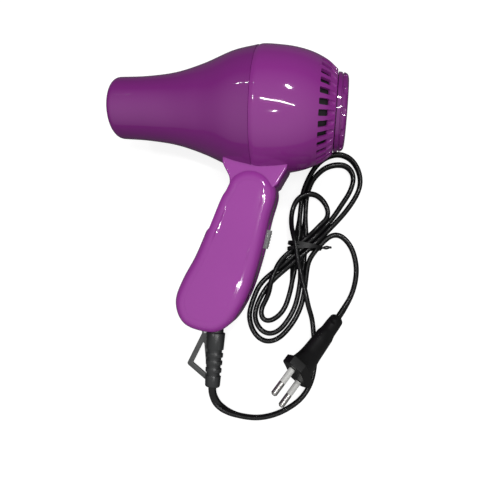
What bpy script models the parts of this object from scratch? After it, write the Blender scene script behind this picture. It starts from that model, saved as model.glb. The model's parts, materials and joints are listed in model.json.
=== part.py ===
"""A travel hair dryer with a folding handle, lying on its side on a table.

Units are metres. The dryer is modelled in its own frame: X runs along the barrel, from the outlet
at -X to the inlet at +X, Y points away from the handle and Z is the fold hinge's axis. An empty then
rolls it about X until the belly and the end of the handle both rest on the table at Z = 0.
"""

from math import asin, atan2, cos, hypot, pi, radians, sin, sqrt

import bmesh
import bpy
from mathutils import Matrix, Vector

# ---- Driving dimensions -------------------------------------------------------------------------

GAP = 0.0003  # between pieces that touch
WALL = 0.0020  # moulded shells

BODY_RADIUS = 0.0400  # the belly, at its widest
MOUTH_RADIUS = 0.0201
MOUTH_ROUNDING = 0.0051
BARREL_LENGTH = 0.0968  # from the seam to the mouth
REAR_LENGTH = 0.0490  # from the seam to the end of the rear shell
LIP_LENGTH = 0.0050  # the barrel's lip inside the rear shell
LIP_WALL = 0.0015

VENT_COUNT = 32
VENT_FRONT = 0.0385
VENT_LENGTH = 0.0070
VENT_WIDTH = 0.0036
CAP_RADIUS = 0.0238
CAP_LENGTH = 0.0085
CAP_NOTCHES = 12
CAP_NOTCH_DEPTH = 0.0012

DUCT_WALL = 0.0012
DUCT_CLEARANCE = 0.0088  # from the belly's outside to the duct's outside
SHIELD_RADIUS = 0.0180
SHIELD_WALL = 0.0005
SHIELD_LENGTH = 0.0520
BOARD_THICKNESS = 0.0008
COIL_TURNS = 7
COIL_WIRE = 0.00045  # radius
GRILLE_THICKNESS = 0.0016

MOTOR_RADIUS = 0.0122
MOTOR_LENGTH = 0.0300
SHAFT_RADIUS = 0.00115
VANE_COUNT = 6
BLADE_COUNT = 7
FAN_CLEARANCE = 0.0010
HUB_RADIUS = 0.0105

NECK_HALF = 0.0135  # half the neck's thickness
HINGE_PLAY = 0.0004
EAR_RADIUS = 0.0165
EAR_DROP = 0.0013  # from the belly to the top of the ears
KNUCKLE_RADIUS = 0.0135
PIVOT_RADIUS = 0.0025
FOLD_LIMIT = 72.0  # degrees

HANDLE_LENGTH = 0.0680  # from the hinge to the centre of the round end
HANDLE_HALF = 0.0165  # half the handle's thickness
HANDLE_LEAN = 17.1  # degrees, forward of straight down
HANDLE_ROUNDING = 0.0070
HANDLE_WIDTH = 0.0450  # across the round end

SLIDER_LENGTH = 0.0120
SLIDER_WIDTH = 0.0070
SLIDER_TRAVEL = 0.0045  # each way from the middle position
SLIDER_PROUD = 0.0018
SCREW_RADIUS = 0.0013
SCREW_HEAD = 0.0026

RELIEF_LENGTH = 0.0377
RELIEF_TOP = (0.00625, 0.0043)  # half its width and half its depth, at the handle
RELIEF_END = (0.0050, 0.0035)
LOOP_BAND = 0.0033
LOOP_HALF = 0.0009
LOOP_PIN = 0.0010

CORD_RADIUS = 0.0019  # the round tube that stands for the flat twin cord
CORD_HEIGHT = 0.0028  # of its centreline above the table
HANK_HEIGHT = 0.0085

PLUG_LENGTH = 0.0470
PLUG_FACE = (0.0353, 0.0137)
PIN_RADIUS = 0.0020
PIN_LENGTH = 0.0190
PIN_SPACING = 0.0186
SLEEVE_LENGTH = 0.0100
SLEEVE_WALL = 0.00045

# ---- What follows from them ---------------------------------------------------------------------

HINGE = Vector((0, -(sqrt(BODY_RADIUS**2 - NECK_HALF**2) + EAR_DROP + EAR_RADIUS), 0))
HANDLE_DOWN = Vector((-sin(radians(HANDLE_LEAN)), -cos(radians(HANDLE_LEAN)), 0))
HANDLE_FRONT = Vector((-HANDLE_DOWN.y, HANDLE_DOWN.x, 0)) * -1
DUCT_RADIUS = BODY_RADIUS - DUCT_CLEARANCE
RING_RADIUS = DUCT_RADIUS - DUCT_WALL - GAP
SLOT_HALF = NECK_HALF + HINGE_PLAY

# ---- Scene, materials and placing ---------------------------------------------------------------

for old in list(bpy.data.objects):
    bpy.data.objects.remove(old, do_unlink=True)

PARTS = bpy.data.collections.new("travel_hair_dryer")
CUTTERS = bpy.data.collections.new("cutters")
for made in (PARTS, CUTTERS):
    bpy.context.scene.collection.children.link(made)


def material(name, colour, roughness, metallic=0.0):
    made = bpy.data.materials.new(name)
    made.use_nodes = True
    shader = made.node_tree.nodes["Principled BSDF"]
    shader.inputs["Base Color"].default_value = (*colour, 1.0)
    shader.inputs["Roughness"].default_value = roughness
    shader.inputs["Metallic"].default_value = metallic
    return made


PURPLE = material("gloss_purple", (0.262, 0.037, 0.240), 0.18)
DARK_PURPLE = material("deep_purple", (0.175, 0.026, 0.165), 0.22)
HANDLE_PURPLE = material("handle_purple", (0.360, 0.066, 0.360), 0.18)
BLACK = material("black_vinyl", (0.012, 0.012, 0.013), 0.35)
GREY = material("grey_nylon", (0.070, 0.072, 0.072), 0.5)
WHITE = material("white_sleeve", (0.75, 0.75, 0.72), 0.4)
NICKEL = material("nickel", (0.62, 0.60, 0.57), 0.25, 1.0)
STEEL = material("steel", (0.50, 0.50, 0.50), 0.35, 1.0)
MICA = material("mica", (0.45, 0.37, 0.25), 0.6)
WIRE = material("heating_wire", (0.35, 0.33, 0.31), 0.4, 1.0)
CREAM = material("cream_nylon", (0.70, 0.66, 0.55), 0.5)
COPPER = material("copper", (0.70, 0.32, 0.18), 0.35, 1.0)


def pivot(name, place, parent=None):
    """An empty on a joint's axis, placed in the dryer's frame."""
    empty = bpy.data.objects.new(name, None)
    PARTS.objects.link(empty)
    empty.empty_display_size = 0.01
    empty.location = place
    if parent is not None:
        empty.parent = parent
        empty.location = Vector(place) - frame_place(parent)
    return empty


def frame_place(empty):
    """Where an empty stands in the dryer's frame."""
    place = Vector((0, 0, 0))
    while empty is not None and empty is not DRYER:
        place += empty.location
        empty = empty.parent
    return place


DRYER = None
DRYER = pivot("dryer", (0, 0, 0))
TABLE = pivot("table", (0, 0, 0))
HEAD = pivot("fold_axis", HINGE, DRYER)
ROTOR = pivot("fan_axis", (0, 0, 0), HEAD)
SLIDER = None
LOOP = None


def settle(piece, parent, finish):
    """Adds a piece whose mesh is in its parent's outer frame, without moving it."""
    PARTS.objects.link(piece)
    piece.data.materials.append(finish)
    hold(piece, parent)
    return piece


def hold(piece, parent):
    piece.parent = parent
    if parent in (HEAD, ROTOR, SLIDER, LOOP):
        piece.matrix_parent_inverse = Matrix.Translation(-frame_place(parent))


def cutter(piece, parent):
    CUTTERS.objects.link(piece)
    piece.hide_render = True
    piece.display_type = "WIRE"
    hold(piece, parent)
    return piece


def boolean(piece, other, operation):
    step = piece.modifiers.new(other.name, "BOOLEAN")
    step.operation = operation
    step.solver = "EXACT"
    step.object = other
    return piece


def cut(piece, other):
    return boolean(piece, other, "DIFFERENCE")


def join(piece, other):
    return boolean(piece, other, "UNION")


# ---- Shapes -------------------------------------------------------------------------------------

LIE_ALONG_X = (0, pi / 2, 0)  # turns a piece's own Z axis along the barrel


SHARP_ANGLE = radians(40)


def mesh_object(name, build):
    """An object whose mesh is filled by build(bm)."""
    bm = bmesh.new()
    build(bm)
    mesh = bpy.data.meshes.new(name)
    bm.to_mesh(mesh)
    bm.free()
    mesh.shade_smooth()
    mesh.set_sharp_from_angle(angle=SHARP_ANGLE)
    return bpy.data.objects.new(name, mesh)


def block(name, centre, size, turn=0.0):
    """A box, turned about Z."""

    def build(bm):
        bmesh.ops.create_cube(bm, size=1.0)
        bmesh.ops.scale(bm, vec=size, verts=bm.verts)
        bmesh.ops.rotate(bm, matrix=Matrix.Rotation(turn, 3, "Z"), verts=bm.verts)
        bmesh.ops.translate(bm, vec=centre, verts=bm.verts)

    return mesh_object(name, build)


def rod(name, centre, radius, length, axis="Z", segments=24, end_radius=None):
    """A cylinder, or a cone, about its centre."""
    turn = {
        "X": Matrix.Rotation(pi / 2, 3, "Y"),
        "Y": Matrix.Rotation(-pi / 2, 3, "X"),
        "Z": Matrix.Identity(3),
    }[axis]

    def build(bm):
        bmesh.ops.create_cone(
            bm,
            cap_ends=True,
            segments=segments,
            radius1=radius,
            radius2=radius if end_radius is None else end_radius,
            depth=length,
        )
        bmesh.ops.rotate(bm, matrix=turn, verts=bm.verts)
        bmesh.ops.translate(bm, vec=centre, verts=bm.verts)

    return mesh_object(name, build)


def turned(name, profile, closed, segments=32):
    """A solid of revolution about the barrel: profile is (x, radius), from the rear to the front."""

    def build(bm):
        points = [bm.verts.new((radius, 0, x)) for x, radius in profile]
        pairs = list(zip(points, points[1:]))
        if closed:
            pairs.append((points[-1], points[0]))
        for pair in pairs:
            bm.edges.new(pair)

    piece = mesh_object(name, build)
    screw = piece.modifiers.new("turn", "SCREW")
    screw.axis = "Z"
    screw.steps = segments
    screw.render_steps = segments
    screw.use_merge_vertices = True
    screw.merge_threshold = 0.00001
    screw.use_smooth_shade = False
    piece.rotation_euler = LIE_ALONG_X
    return piece


def plate(name, outlines, low, high):
    """A flat outline in XY, with any holes, from low to high along Z."""
    curve = bpy.data.curves.new(name, "CURVE")
    curve.dimensions = "2D"
    curve.fill_mode = "BOTH"
    curve.extrude = (high - low) / 2
    for outline in outlines:
        spline = curve.splines.new("POLY")
        spline.points.add(len(outline) - 1)
        for point, (x, y) in zip(spline.points, outline):
            point.co = (x, y, 0, 1)
        spline.use_cyclic_u = True
    piece = as_mesh(name, curve)
    for vertex in piece.data.vertices:
        vertex.co.z += (low + high) / 2
    return piece


def as_mesh(name, curve):
    """A curve's closed surface as a mesh object."""
    holder = bpy.data.objects.new(name, curve)
    bpy.context.scene.collection.objects.link(holder)
    shape = holder.evaluated_get(bpy.context.evaluated_depsgraph_get())
    mesh = bpy.data.meshes.new_from_object(shape)
    bpy.data.objects.remove(holder, do_unlink=True)
    bm = bmesh.new()
    bm.from_mesh(mesh)
    bmesh.ops.remove_doubles(bm, verts=bm.verts, dist=0.00001)
    bmesh.ops.recalc_face_normals(bm, faces=bm.faces)
    bm.to_mesh(mesh)
    bm.free()
    mesh.shade_smooth()
    mesh.set_sharp_from_angle(angle=SHARP_ANGLE)
    mesh.name = name
    return bpy.data.objects.new(name, mesh)


def tube(name, points, radius, resolution=2):
    """A round wire through the points, with flat ends."""
    curve = bpy.data.curves.new(name, "CURVE")
    curve.dimensions = "3D"
    curve.bevel_depth = radius
    curve.bevel_resolution = resolution
    curve.use_fill_caps = True
    spline = curve.splines.new("POLY")
    spline.points.add(len(points) - 1)
    for point, place in zip(spline.points, points):
        point.co = (*place, 1)
    return as_mesh(name, curve)


def lofted(name, sections, count, squareness=1.0):
    """A closed solid along X through sections (x, half width in Y, half depth in Z)."""

    def build(bm):
        loops = []
        for x, wide, deep in sections:
            ring = []
            for k in range(count):
                c, s = cos(2 * pi * k / count), sin(2 * pi * k / count)
                y = wide * abs(c) ** squareness * (1 if c > 0 else -1)
                z = deep * abs(s) ** squareness * (1 if s > 0 else -1)
                ring.append(bm.verts.new((x, y, z)))
            loops.append(ring)
        for a, b in zip(loops, loops[1:]):
            for i in range(count):
                bm.faces.new((a[i], a[(i + 1) % count], b[(i + 1) % count], b[i]))
        bm.faces.new(loops[0])
        bm.faces.new(loops[-1])
        bmesh.ops.recalc_face_normals(bm, faces=bm.faces)

    return mesh_object(name, build)


def rounded(piece, width, segments=3, limit=50):
    """Rounds a piece's sharp edges."""
    step = piece.modifiers.new("round", "BEVEL")
    step.width = width
    step.segments = segments
    step.limit_method = "ANGLE"
    step.angle_limit = radians(limit)
    return piece


def arc(centre, radius, start, end, steps):
    """Points on an arc, with its angles in degrees."""
    angles = [radians(start + (end - start) * i / steps) for i in range(steps + 1)]
    return [(centre[0] + radius * cos(a), centre[1] + radius * sin(a)) for a in angles]


def through(points, per_span, closed=False):
    """Points on a smooth curve through the given ones."""
    points = [Vector(p) for p in points]
    count = len(points)
    spans = count if closed else count - 1
    out = []
    for i in range(spans):
        if closed:
            a, b, c, d = (points[(i + k) % count] for k in (-1, 0, 1, 2))
        else:
            b, c = points[i], points[i + 1]
            a = points[i - 1] if i else b - (c - b)
            d = points[i + 2] if i + 2 < count else c + (c - b)
        slope = c - a
        bend = 2 * a - 5 * b + 4 * c - d
        twist = 3 * b - a - 3 * c + d
        for k in range(per_span):
            t = k / per_span
            out.append(b + (slope * t + bend * t**2 + twist * t**3) / 2)
    if not closed:
        out.append(points[-1])
    return out


# ---- Barrel and rear shell ----------------------------------------------------------------------

# The outside of the head, as (x, radius) from the mouth to the rear, in shares of its own sizes.
BARREL_SHAPE = [(0.947, 0.0), (0.76, 0.035), (0.552, 0.160), (0.355, 0.435), (0.158, 0.810), (0.0, 0.977)]
REAR_SHAPE = [(0.0, 0.977), (0.075, 1.0), (0.25, 0.990), (0.465, 0.9575)]
REAR_SHAPE += [(0.68, 0.887), (0.867, 0.776), (1.0, 0.645)]


def barrel_point(along, grown):
    """A point of the barrel's outside: 0 is the seam's x and the mouth's radius, 1 the belly's."""
    return (-BARREL_LENGTH * along, MOUTH_RADIUS + (BODY_RADIUS - MOUTH_RADIUS) * grown)


barrel_keys = [barrel_point(*p) for p in BARREL_SHAPE]
barrel_outer = [(p.x, p.y) for p in through([(*p, 0) for p in barrel_keys], 2)]
rear_outer = [(REAR_LENGTH * along, BODY_RADIUS * share) for along, share in REAR_SHAPE]


def radius_at(profile, x):
    """The radius of a profile at x, between its points."""
    for (x0, r0), (x1, r1) in zip(profile, profile[1:]):
        if min(x0, x1) <= x <= max(x0, x1):
            return r0 + (r1 - r0) * (x - x0) / (x1 - x0)
    return profile[-1][1] if x > profile[-1][0] else profile[0][1]


def inside_of(profile):
    """A profile moved inwards by the wall, square to its own slope."""
    out = []
    for i, (x, r) in enumerate(profile):
        x0, r0 = profile[max(i - 1, 0)]
        x1, r1 = profile[min(i + 1, len(profile) - 1)]
        long = hypot(x1 - x0, r1 - r0)
        side = 1 if x1 > x0 else -1
        out.append((x + WALL * side * (r1 - r0) / long, r - WALL * side * (x1 - x0) / long))
    return out


rim_centre = (-BARREL_LENGTH + MOUTH_ROUNDING, MOUTH_RADIUS - MOUTH_ROUNDING)
rim_outer = arc(rim_centre, MOUTH_ROUNDING, 180, 90, 4)
rim_inner = arc(rim_centre, MOUTH_ROUNDING - WALL, 90, 180, 3)
seam_to_mouth = barrel_outer[::-1]
barrel_inner = [p for p in inside_of(barrel_keys) if p[0] < -0.004]
lip_outer = radius_at(rear_outer, 0) - WALL - GAP
lip = [
    (-0.0030, radius_at(barrel_inner, -0.0030)),
    (-0.0030, lip_outer - LIP_WALL),
    (LIP_LENGTH, lip_outer - LIP_WALL),
    (LIP_LENGTH, lip_outer),
    (0, lip_outer),
]
barrel_section = seam_to_mouth[:-1] + rim_outer[::-1] + rim_inner[::-1] + barrel_inner[1:] + lip[1:]
barrel_shell = settle(turned("barrel_shell", barrel_section, True, 40), HEAD, DARK_PURPLE)

rear_start = (GAP, radius_at(rear_outer, GAP))
rear_outside = [rear_start] + [p for p in rear_outer if p[0] > GAP * 2]
rear_inside = inside_of(rear_outside)
rear_inside[0] = (GAP, radius_at(rear_outer, 0) - WALL)
seat_radius = CAP_RADIUS - 0.0012  # the flange that the cap sits in
seat_front = REAR_LENGTH - WALL
rear_section = (
    [(REAR_LENGTH, seat_radius)]
    + rear_outside[::-1]
    + rear_inside[:-1]
    + [(seat_front, radius_at(rear_inside, seat_front - WALL)), (seat_front, seat_radius)]
)
body_shell = settle(turned("body_shell", rear_section, True, 64), HEAD, PURPLE)


def ring_of_blocks(name, count, centre_x, centre_r, size, lean=0.0):
    """Boxes standing round the barrel's axis; lean turns each about its own ring tangent."""

    def build(bm):
        for i in range(count):
            place = Matrix.Rotation(2 * pi * (i + 0.5) / count, 4, "X")
            place = place @ Matrix.Translation((centre_x, centre_r, 0)) @ Matrix.Rotation(lean, 4, "Z")
            bmesh.ops.create_cube(bm, size=1.0, matrix=place @ Matrix.Diagonal((*size, 1)))

    return mesh_object(name, build)


shoulder_r = radius_at(rear_outer, VENT_FRONT + VENT_LENGTH / 2)
shoulder_rise = radius_at(rear_outer, VENT_FRONT) - radius_at(rear_outer, VENT_FRONT + VENT_LENGTH)
vent_size = (VENT_LENGTH, 4 * WALL, VENT_WIDTH)
vents = ring_of_blocks(
    "vent_slots", VENT_COUNT, VENT_FRONT + VENT_LENGTH / 2, shoulder_r - WALL / 2, vent_size,
    -atan2(shoulder_rise, VENT_LENGTH),
)
cut(body_shell, cutter(vents, HEAD))

cap_front = REAR_LENGTH - WALL + GAP
plug_radius = seat_radius - GAP
cap_edge = REAR_LENGTH + GAP
cap_rear = cap_edge + CAP_LENGTH - WALL
rear_cap = turned(
    "rear_cap",
    [
        (cap_rear - 0.0010, 0),
        (cap_rear - 0.0010, CAP_RADIUS - 0.0062),
        (cap_rear, CAP_RADIUS - 0.0055),
        (cap_rear, CAP_RADIUS - 0.0030),
        (cap_rear - 0.0008, CAP_RADIUS - 0.0010),
        (cap_rear - 0.0025, CAP_RADIUS),
        (cap_edge, CAP_RADIUS + 0.0006),
        (cap_edge, plug_radius),
        (cap_front - 0.0045, plug_radius),
        (cap_front - 0.0045, plug_radius - WALL),
        (cap_rear - 0.0010 - WALL, plug_radius - WALL),
        (cap_rear - 0.0010 - WALL, 0),
    ],
    False,
    48,
)
settle(rear_cap, HEAD, DARK_PURPLE)
notch_size = (0.0040, 2 * CAP_NOTCH_DEPTH, 0.0050)
notches = ring_of_blocks("cap_notches", CAP_NOTCHES, cap_rear - 0.0010, CAP_RADIUS, notch_size)
cut(rear_cap, cutter(notches, HEAD))

# ---- Neck, between the belly and the handle's ears ----------------------------------------------

NECK_TOP = -(DUCT_RADIUS + 0.0012)
NECK_FRONT = [(-0.0185, NECK_TOP), (-0.0180, -0.0368)]
NECK_FRONT += [(-0.0139, HINGE.y + 0.0116), (-0.0130, HINGE.y + 0.0085)]
NECK_REAR = [(0.0172, HINGE.y + 0.0072), (0.0180, HINGE.y + 0.0090), (0.0205, HINGE.y + 0.0140)]
NECK_REAR += [(0.0223, -0.0376), (0.0228, NECK_TOP)]

neck_outline = NECK_FRONT + arc(HINGE, KNUCKLE_RADIUS, 158, 382, 20) + NECK_REAR
neck_bracket = settle(plate("neck_bracket", [neck_outline], -NECK_HALF, NECK_HALF), HEAD, HANDLE_PURPLE)
cut(neck_bracket, cutter(rod("pivot_bore", HINGE, PIVOT_RADIUS + GAP, 4 * NECK_HALF), HEAD))
hollow_half = NECK_HALF - WALL
wire_way = [(-0.0130, NECK_TOP + 0.001), (-0.0130, -0.0400), (-0.0040, -0.0430), (0.0060, -0.0430)]
wire_way += [(0.0170, -0.0400), (0.0170, NECK_TOP + 0.001)]
cut(neck_bracket, cutter(plate("neck_hollow", [wire_way], -hollow_half, hollow_half), HEAD))

opening_top = NECK_TOP + 0.0040
neck_opening = [
    (NECK_FRONT[0][0] - GAP, opening_top),
    (NECK_FRONT[1][0] - GAP, NECK_FRONT[1][1]),
    (NECK_FRONT[2][0] - GAP, HINGE.y + 0.0100),
    (NECK_REAR[1][0] + GAP, HINGE.y + 0.0080),
    (NECK_REAR[3][0] + GAP, NECK_REAR[3][1]),
    (NECK_REAR[4][0] + GAP, opening_top),
]
neck_cut = cutter(plate("neck_opening", [neck_opening], -NECK_HALF - GAP, NECK_HALF + GAP), HEAD)
cut(barrel_shell, neck_cut)
cut(body_shell, neck_cut)

# ---- Air path: duct, motor, fan, heater and grille ----------------------------------------------

DUCT_REAR = 0.0355
CONE_REAR = -0.0120
CONE_FRONT = -0.0240
DUCT_FRONT = -0.0320
socket_outer = SHIELD_RADIUS + GAP + DUCT_WALL
fan_duct = turned(
    "fan_duct",
    [
        (DUCT_REAR, DUCT_RADIUS),
        (CONE_REAR, DUCT_RADIUS),
        (CONE_FRONT, socket_outer),
        (DUCT_FRONT, socket_outer),
        (DUCT_FRONT, socket_outer - DUCT_WALL),
        (CONE_FRONT + 0.0006, socket_outer - DUCT_WALL),
        (CONE_REAR + 0.0006, DUCT_RADIUS - DUCT_WALL),
        (DUCT_REAR, DUCT_RADIUS - DUCT_WALL),
    ],
    True,
)
settle(fan_duct, HEAD, CREAM)

MOTOR_REAR = 0.0220
MOUNT_RING_REAR = 0.0180
MOUNT_RING_FRONT = 0.0020
MOUNT_RING_WALL = 0.0010
MOTOR_FRONT = MOTOR_REAR - MOTOR_LENGTH
CUP_WALL = 0.0014
cup_inner = MOTOR_RADIUS + GAP
motor_mount = turned(
    "motor_mount",
    [
        (MOTOR_REAR + GAP + WALL, 0.0042),
        (MOTOR_REAR + GAP + WALL, cup_inner + CUP_WALL),
        (MOTOR_FRONT + 0.0040, cup_inner + CUP_WALL),
        (MOTOR_FRONT + 0.0040, cup_inner),
        (MOTOR_REAR + GAP, cup_inner),
        (MOTOR_REAR + GAP, 0.0042),
    ],
    True,
    32,
)
settle(motor_mount, HEAD, CREAM)
ring_inner = RING_RADIUS - MOUNT_RING_WALL
mount_ring = turned(
    "mount_ring",
    [
        (MOUNT_RING_REAR, RING_RADIUS),
        (MOUNT_RING_FRONT, RING_RADIUS),
        (MOUNT_RING_FRONT, ring_inner),
        (MOUNT_RING_REAR, ring_inner),
    ],
    True,
)
join(motor_mount, cutter(mount_ring, HEAD))
vane_top = RING_RADIUS - MOUNT_RING_WALL / 2
vane_span = vane_top - cup_inner - CUP_WALL / 2
vane_size = (0.0120, vane_span, 0.0012)
vane_x = (MOUNT_RING_REAR + MOUNT_RING_FRONT) / 2
vanes = ring_of_blocks("mount_vanes", VANE_COUNT, vane_x, vane_top - vane_span / 2, vane_size)
join(motor_mount, cutter(vanes, HEAD))

motor_can = turned(
    "motor_can",
    [
        (MOTOR_REAR, SHAFT_RADIUS + GAP),
        (MOTOR_REAR, MOTOR_RADIUS),
        (MOTOR_FRONT, MOTOR_RADIUS),
        (MOTOR_FRONT, MOTOR_RADIUS - 0.0010),
        (MOTOR_REAR - 0.0010, MOTOR_RADIUS - 0.0010),
        (MOTOR_REAR - 0.0010, SHAFT_RADIUS + GAP),
    ],
    True,
    32,
)
settle(motor_can, HEAD, STEEL)
screw_spread = 0.0080
MOTOR_SCREWS = {"motor_screw_upper": screw_spread, "motor_screw_lower": -screw_spread}
screw_seat = MOTOR_REAR + GAP + WALL
for name, y in MOTOR_SCREWS.items():
    screw = turned(
        name,
        [(0.0018, 0), (0.0018, 0.0017), (GAP, 0.0020), (GAP, 0.0008), (-0.0042, 0.0008), (-0.0042, 0)],
        False,
        16,
    )
    screw.location = (screw_seat, y, 0)
    settle(screw, HEAD, STEEL)
    hole = rod(name + "_hole", (screw_seat, y, 0), 0.0008 + GAP, 0.0120, "X", 16)
    cut(motor_mount, cutter(hole, HEAD))
    cut(motor_can, hole)

cap_outer = MOTOR_RADIUS - 0.0010 - GAP
motor_end_cap = turned(
    "motor_end_cap",
    [
        (MOTOR_FRONT + 0.0040, SHAFT_RADIUS + GAP),
        (MOTOR_FRONT + 0.0040, cap_outer),
        (MOTOR_FRONT - GAP, cap_outer),
        (MOTOR_FRONT - GAP, MOTOR_RADIUS),
        (MOTOR_FRONT - 0.0022, MOTOR_RADIUS),
        (MOTOR_FRONT - 0.0022, SHAFT_RADIUS + GAP),
    ],
    True,
    32,
)
settle(motor_end_cap, HEAD, BLACK)

FAN_REAR = 0.0352
FAN_FRONT = 0.0272
SHAFT_FRONT = MOTOR_FRONT - 0.0015
motor_shaft = turned(
    "motor_shaft",
    [
        (FAN_REAR - 0.0020, 0),
        (FAN_REAR - 0.0020, SHAFT_RADIUS),
        (MOTOR_REAR - 0.0040, SHAFT_RADIUS),
        (MOTOR_REAR - 0.0040, 0.0090),
        (MOTOR_FRONT + 0.0080, 0.0090),
        (MOTOR_FRONT + 0.0080, SHAFT_RADIUS),
        (SHAFT_FRONT, SHAFT_RADIUS),
        (SHAFT_FRONT, 0),
    ],
    False,
    24,
)
settle(motor_shaft, ROTOR, COPPER)
fan = turned(
    "fan_impeller",
    [
        (FAN_REAR + 0.0015, 0),
        (FAN_REAR + 0.0012, 0.0050),
        (FAN_REAR, HUB_RADIUS - 0.0015),
        (FAN_REAR - 0.0020, HUB_RADIUS),
        (FAN_FRONT, HUB_RADIUS),
        (FAN_FRONT, SHAFT_RADIUS + GAP),
        (FAN_REAR - 0.0017, SHAFT_RADIUS + GAP),
        (FAN_REAR - 0.0017, 0),
    ],
    False,
    32,
)
settle(fan, ROTOR, CREAM)
blade_reach = RING_RADIUS + GAP - FAN_CLEARANCE - HUB_RADIUS + 0.0010


def build_blades(bm):
    for i in range(BLADE_COUNT):
        place = Matrix.Rotation(2 * pi * i / BLADE_COUNT, 4, "X")
        place = place @ Matrix.Translation((FAN_FRONT + 0.0038, HUB_RADIUS - 0.0010 + blade_reach / 2, 0))
        place = place @ Matrix.Rotation(radians(55), 4, "Y")
        size = Matrix.Diagonal((0.0011, blade_reach, 0.0080, 1))
        bmesh.ops.create_cube(bm, size=1.0, matrix=place @ size)


blades = cutter(mesh_object("fan_blades", build_blades), ROTOR)
join(fan, blades)

SHIELD_REAR = DUCT_FRONT + 0.0075
SHIELD_FRONT = SHIELD_REAR - SHIELD_LENGTH
heat_shield = turned(
    "heat_shield",
    [
        (SHIELD_REAR, SHIELD_RADIUS),
        (SHIELD_FRONT, SHIELD_RADIUS),
        (SHIELD_FRONT, SHIELD_RADIUS - SHIELD_WALL),
        (SHIELD_REAR, SHIELD_RADIUS - SHIELD_WALL),
    ],
    True,
)
settle(heat_shield, HEAD, MICA)

board_tab = SHIELD_RADIUS - SHIELD_WALL - GAP
coil_radius = board_tab - 0.0016
board_edge = coil_radius - COIL_WIRE - GAP
board_rear = SHIELD_REAR - 0.0020
board_front = SHIELD_FRONT + 0.0020
board_middle = (board_rear + board_front) / 2
tab_length = 0.0030
slot_half = BOARD_THICKNESS / 2 + GAP


def board_outline(slotted_from, slotted_to):
    """Half a board's outline is its edge with a tab at each end; the slot takes the other board."""
    edge = [
        (board_front, board_tab),
        (board_front + tab_length, board_tab),
        (board_front + tab_length, board_edge),
        (board_rear - tab_length, board_edge),
        (board_rear - tab_length, board_tab),
        (board_rear, board_tab),
    ]
    slot = [(slotted_from, slot_half), (slotted_to, slot_half)]
    slot += [(x, -y) for x, y in reversed(slot)]
    lower = [(x, -y) for x, y in reversed(edge)]
    if slotted_from == board_rear:
        return edge + slot + lower
    return edge + lower + [(x, -y) for x, y in slot]


half_board = BOARD_THICKNESS / 2
upright_outline = board_outline(board_rear, board_middle - GAP)
settle(plate("heater_board_upright", [upright_outline], -half_board, half_board), HEAD, MICA)
level_outline = board_outline(board_front, board_middle + GAP)
level = plate("heater_board_level", [level_outline], -half_board, half_board)
level.rotation_euler = (pi / 2, 0, 0)
settle(level, HEAD, MICA)

coil_start = board_front + tab_length + 0.0015
coil_end = board_rear - tab_length - 0.0015
coil_steps = COIL_TURNS * 12
coil_points = [
    (
        coil_start + (coil_end - coil_start) * i / coil_steps,
        coil_radius * cos(2 * pi * COIL_TURNS * i / coil_steps),
        coil_radius * sin(2 * pi * COIL_TURNS * i / coil_steps),
    )
    for i in range(coil_steps + 1)
]
settle(tube("heater_coil", coil_points, COIL_WIRE), HEAD, WIRE)

safety_x = board_rear - 0.0120  # the two cut-outs sit on the upright board, opposite each other
thermostat = block("thermostat", (safety_x, 0.0060, 0.0060), (0.0110, 0.0060, 0.0050))
settle(rounded(thermostat, 0.0006, 2), HEAD, STEEL)
settle(rod("thermal_fuse", (safety_x, -0.0060, 0.0050), 0.0016, 0.0105, "X", 16), HEAD, CREAM)
diodes = block("rectifier_board", (MOTOR_FRONT - 0.0062, 0, 0), (0.0016, 0.0150, 0.0110))
settle(rounded(diodes, 0.0005, 1), HEAD, BLACK)

GRILLE_PLACE = -BARREL_LENGTH + MOUTH_ROUNDING + 0.0040
grille_radius = radius_at(barrel_inner, GRILLE_PLACE) - GAP - 0.0003


def ring_windows(inner, outer, count, bar):
    """The windows between a grille's rings and its spokes, as outlines."""
    out = []
    for i in range(count):
        start = 360 * i / count
        step = 360 / count
        lean_in = (bar / 2) / inner * 180 / pi
        lean_out = (bar / 2) / outer * 180 / pi
        steps = max(2, int(6 * outer / grille_radius))
        outside = arc((0, 0), outer, start + lean_out, start + step - lean_out, steps)
        inside = arc((0, 0), inner, start + step - lean_in, start + lean_in, steps)
        out.append(outside + inside)
    return out


grille_bar = 0.0012
ring_edges = [0.22, 0.46, 0.70, 0.93]
grille_outlines = [arc((0, 0), grille_radius, 0, 352.5, 47)]
for inner, outer in zip(ring_edges, ring_edges[1:]):
    window_inner = grille_radius * inner + grille_bar / 2
    window_outer = grille_radius * outer - grille_bar / 2
    grille_outlines += ring_windows(window_inner, window_outer, 6, grille_bar)
grille = plate("outlet_grille", grille_outlines, -GRILLE_THICKNESS / 2, GRILLE_THICKNESS / 2)
grille.rotation_euler = LIE_ALONG_X
grille.location = (GRILLE_PLACE, 0, 0)
settle(grille, HEAD, DARK_PURPLE)

# ---- Handle shells ------------------------------------------------------------------------------

# The handle's side outline below the ears, as shares of its length and of half its width.
HANDLE_FRONT_SHAPE = [(0.13, 0.780), (0.40, 0.805), (0.70, 0.845)]
HANDLE_FRONT_SHAPE += [(0.953, 0.955), (1.16, 0.945), (1.305, 0.660)]
HANDLE_END_SHAPE = [(1.355, 0.250), (1.316, -0.387)]
HANDLE_REAR_SHAPE = [(1.210, -0.720), (1.05, -0.885), (0.80, -0.950), (0.47, -0.885), (0.155, -0.755)]


def on_handle(along, across):
    place = HINGE + HANDLE_DOWN * HANDLE_LENGTH * along + HANDLE_FRONT * HANDLE_WIDTH / 2 * across
    return (place.x, place.y, 0)


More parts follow.
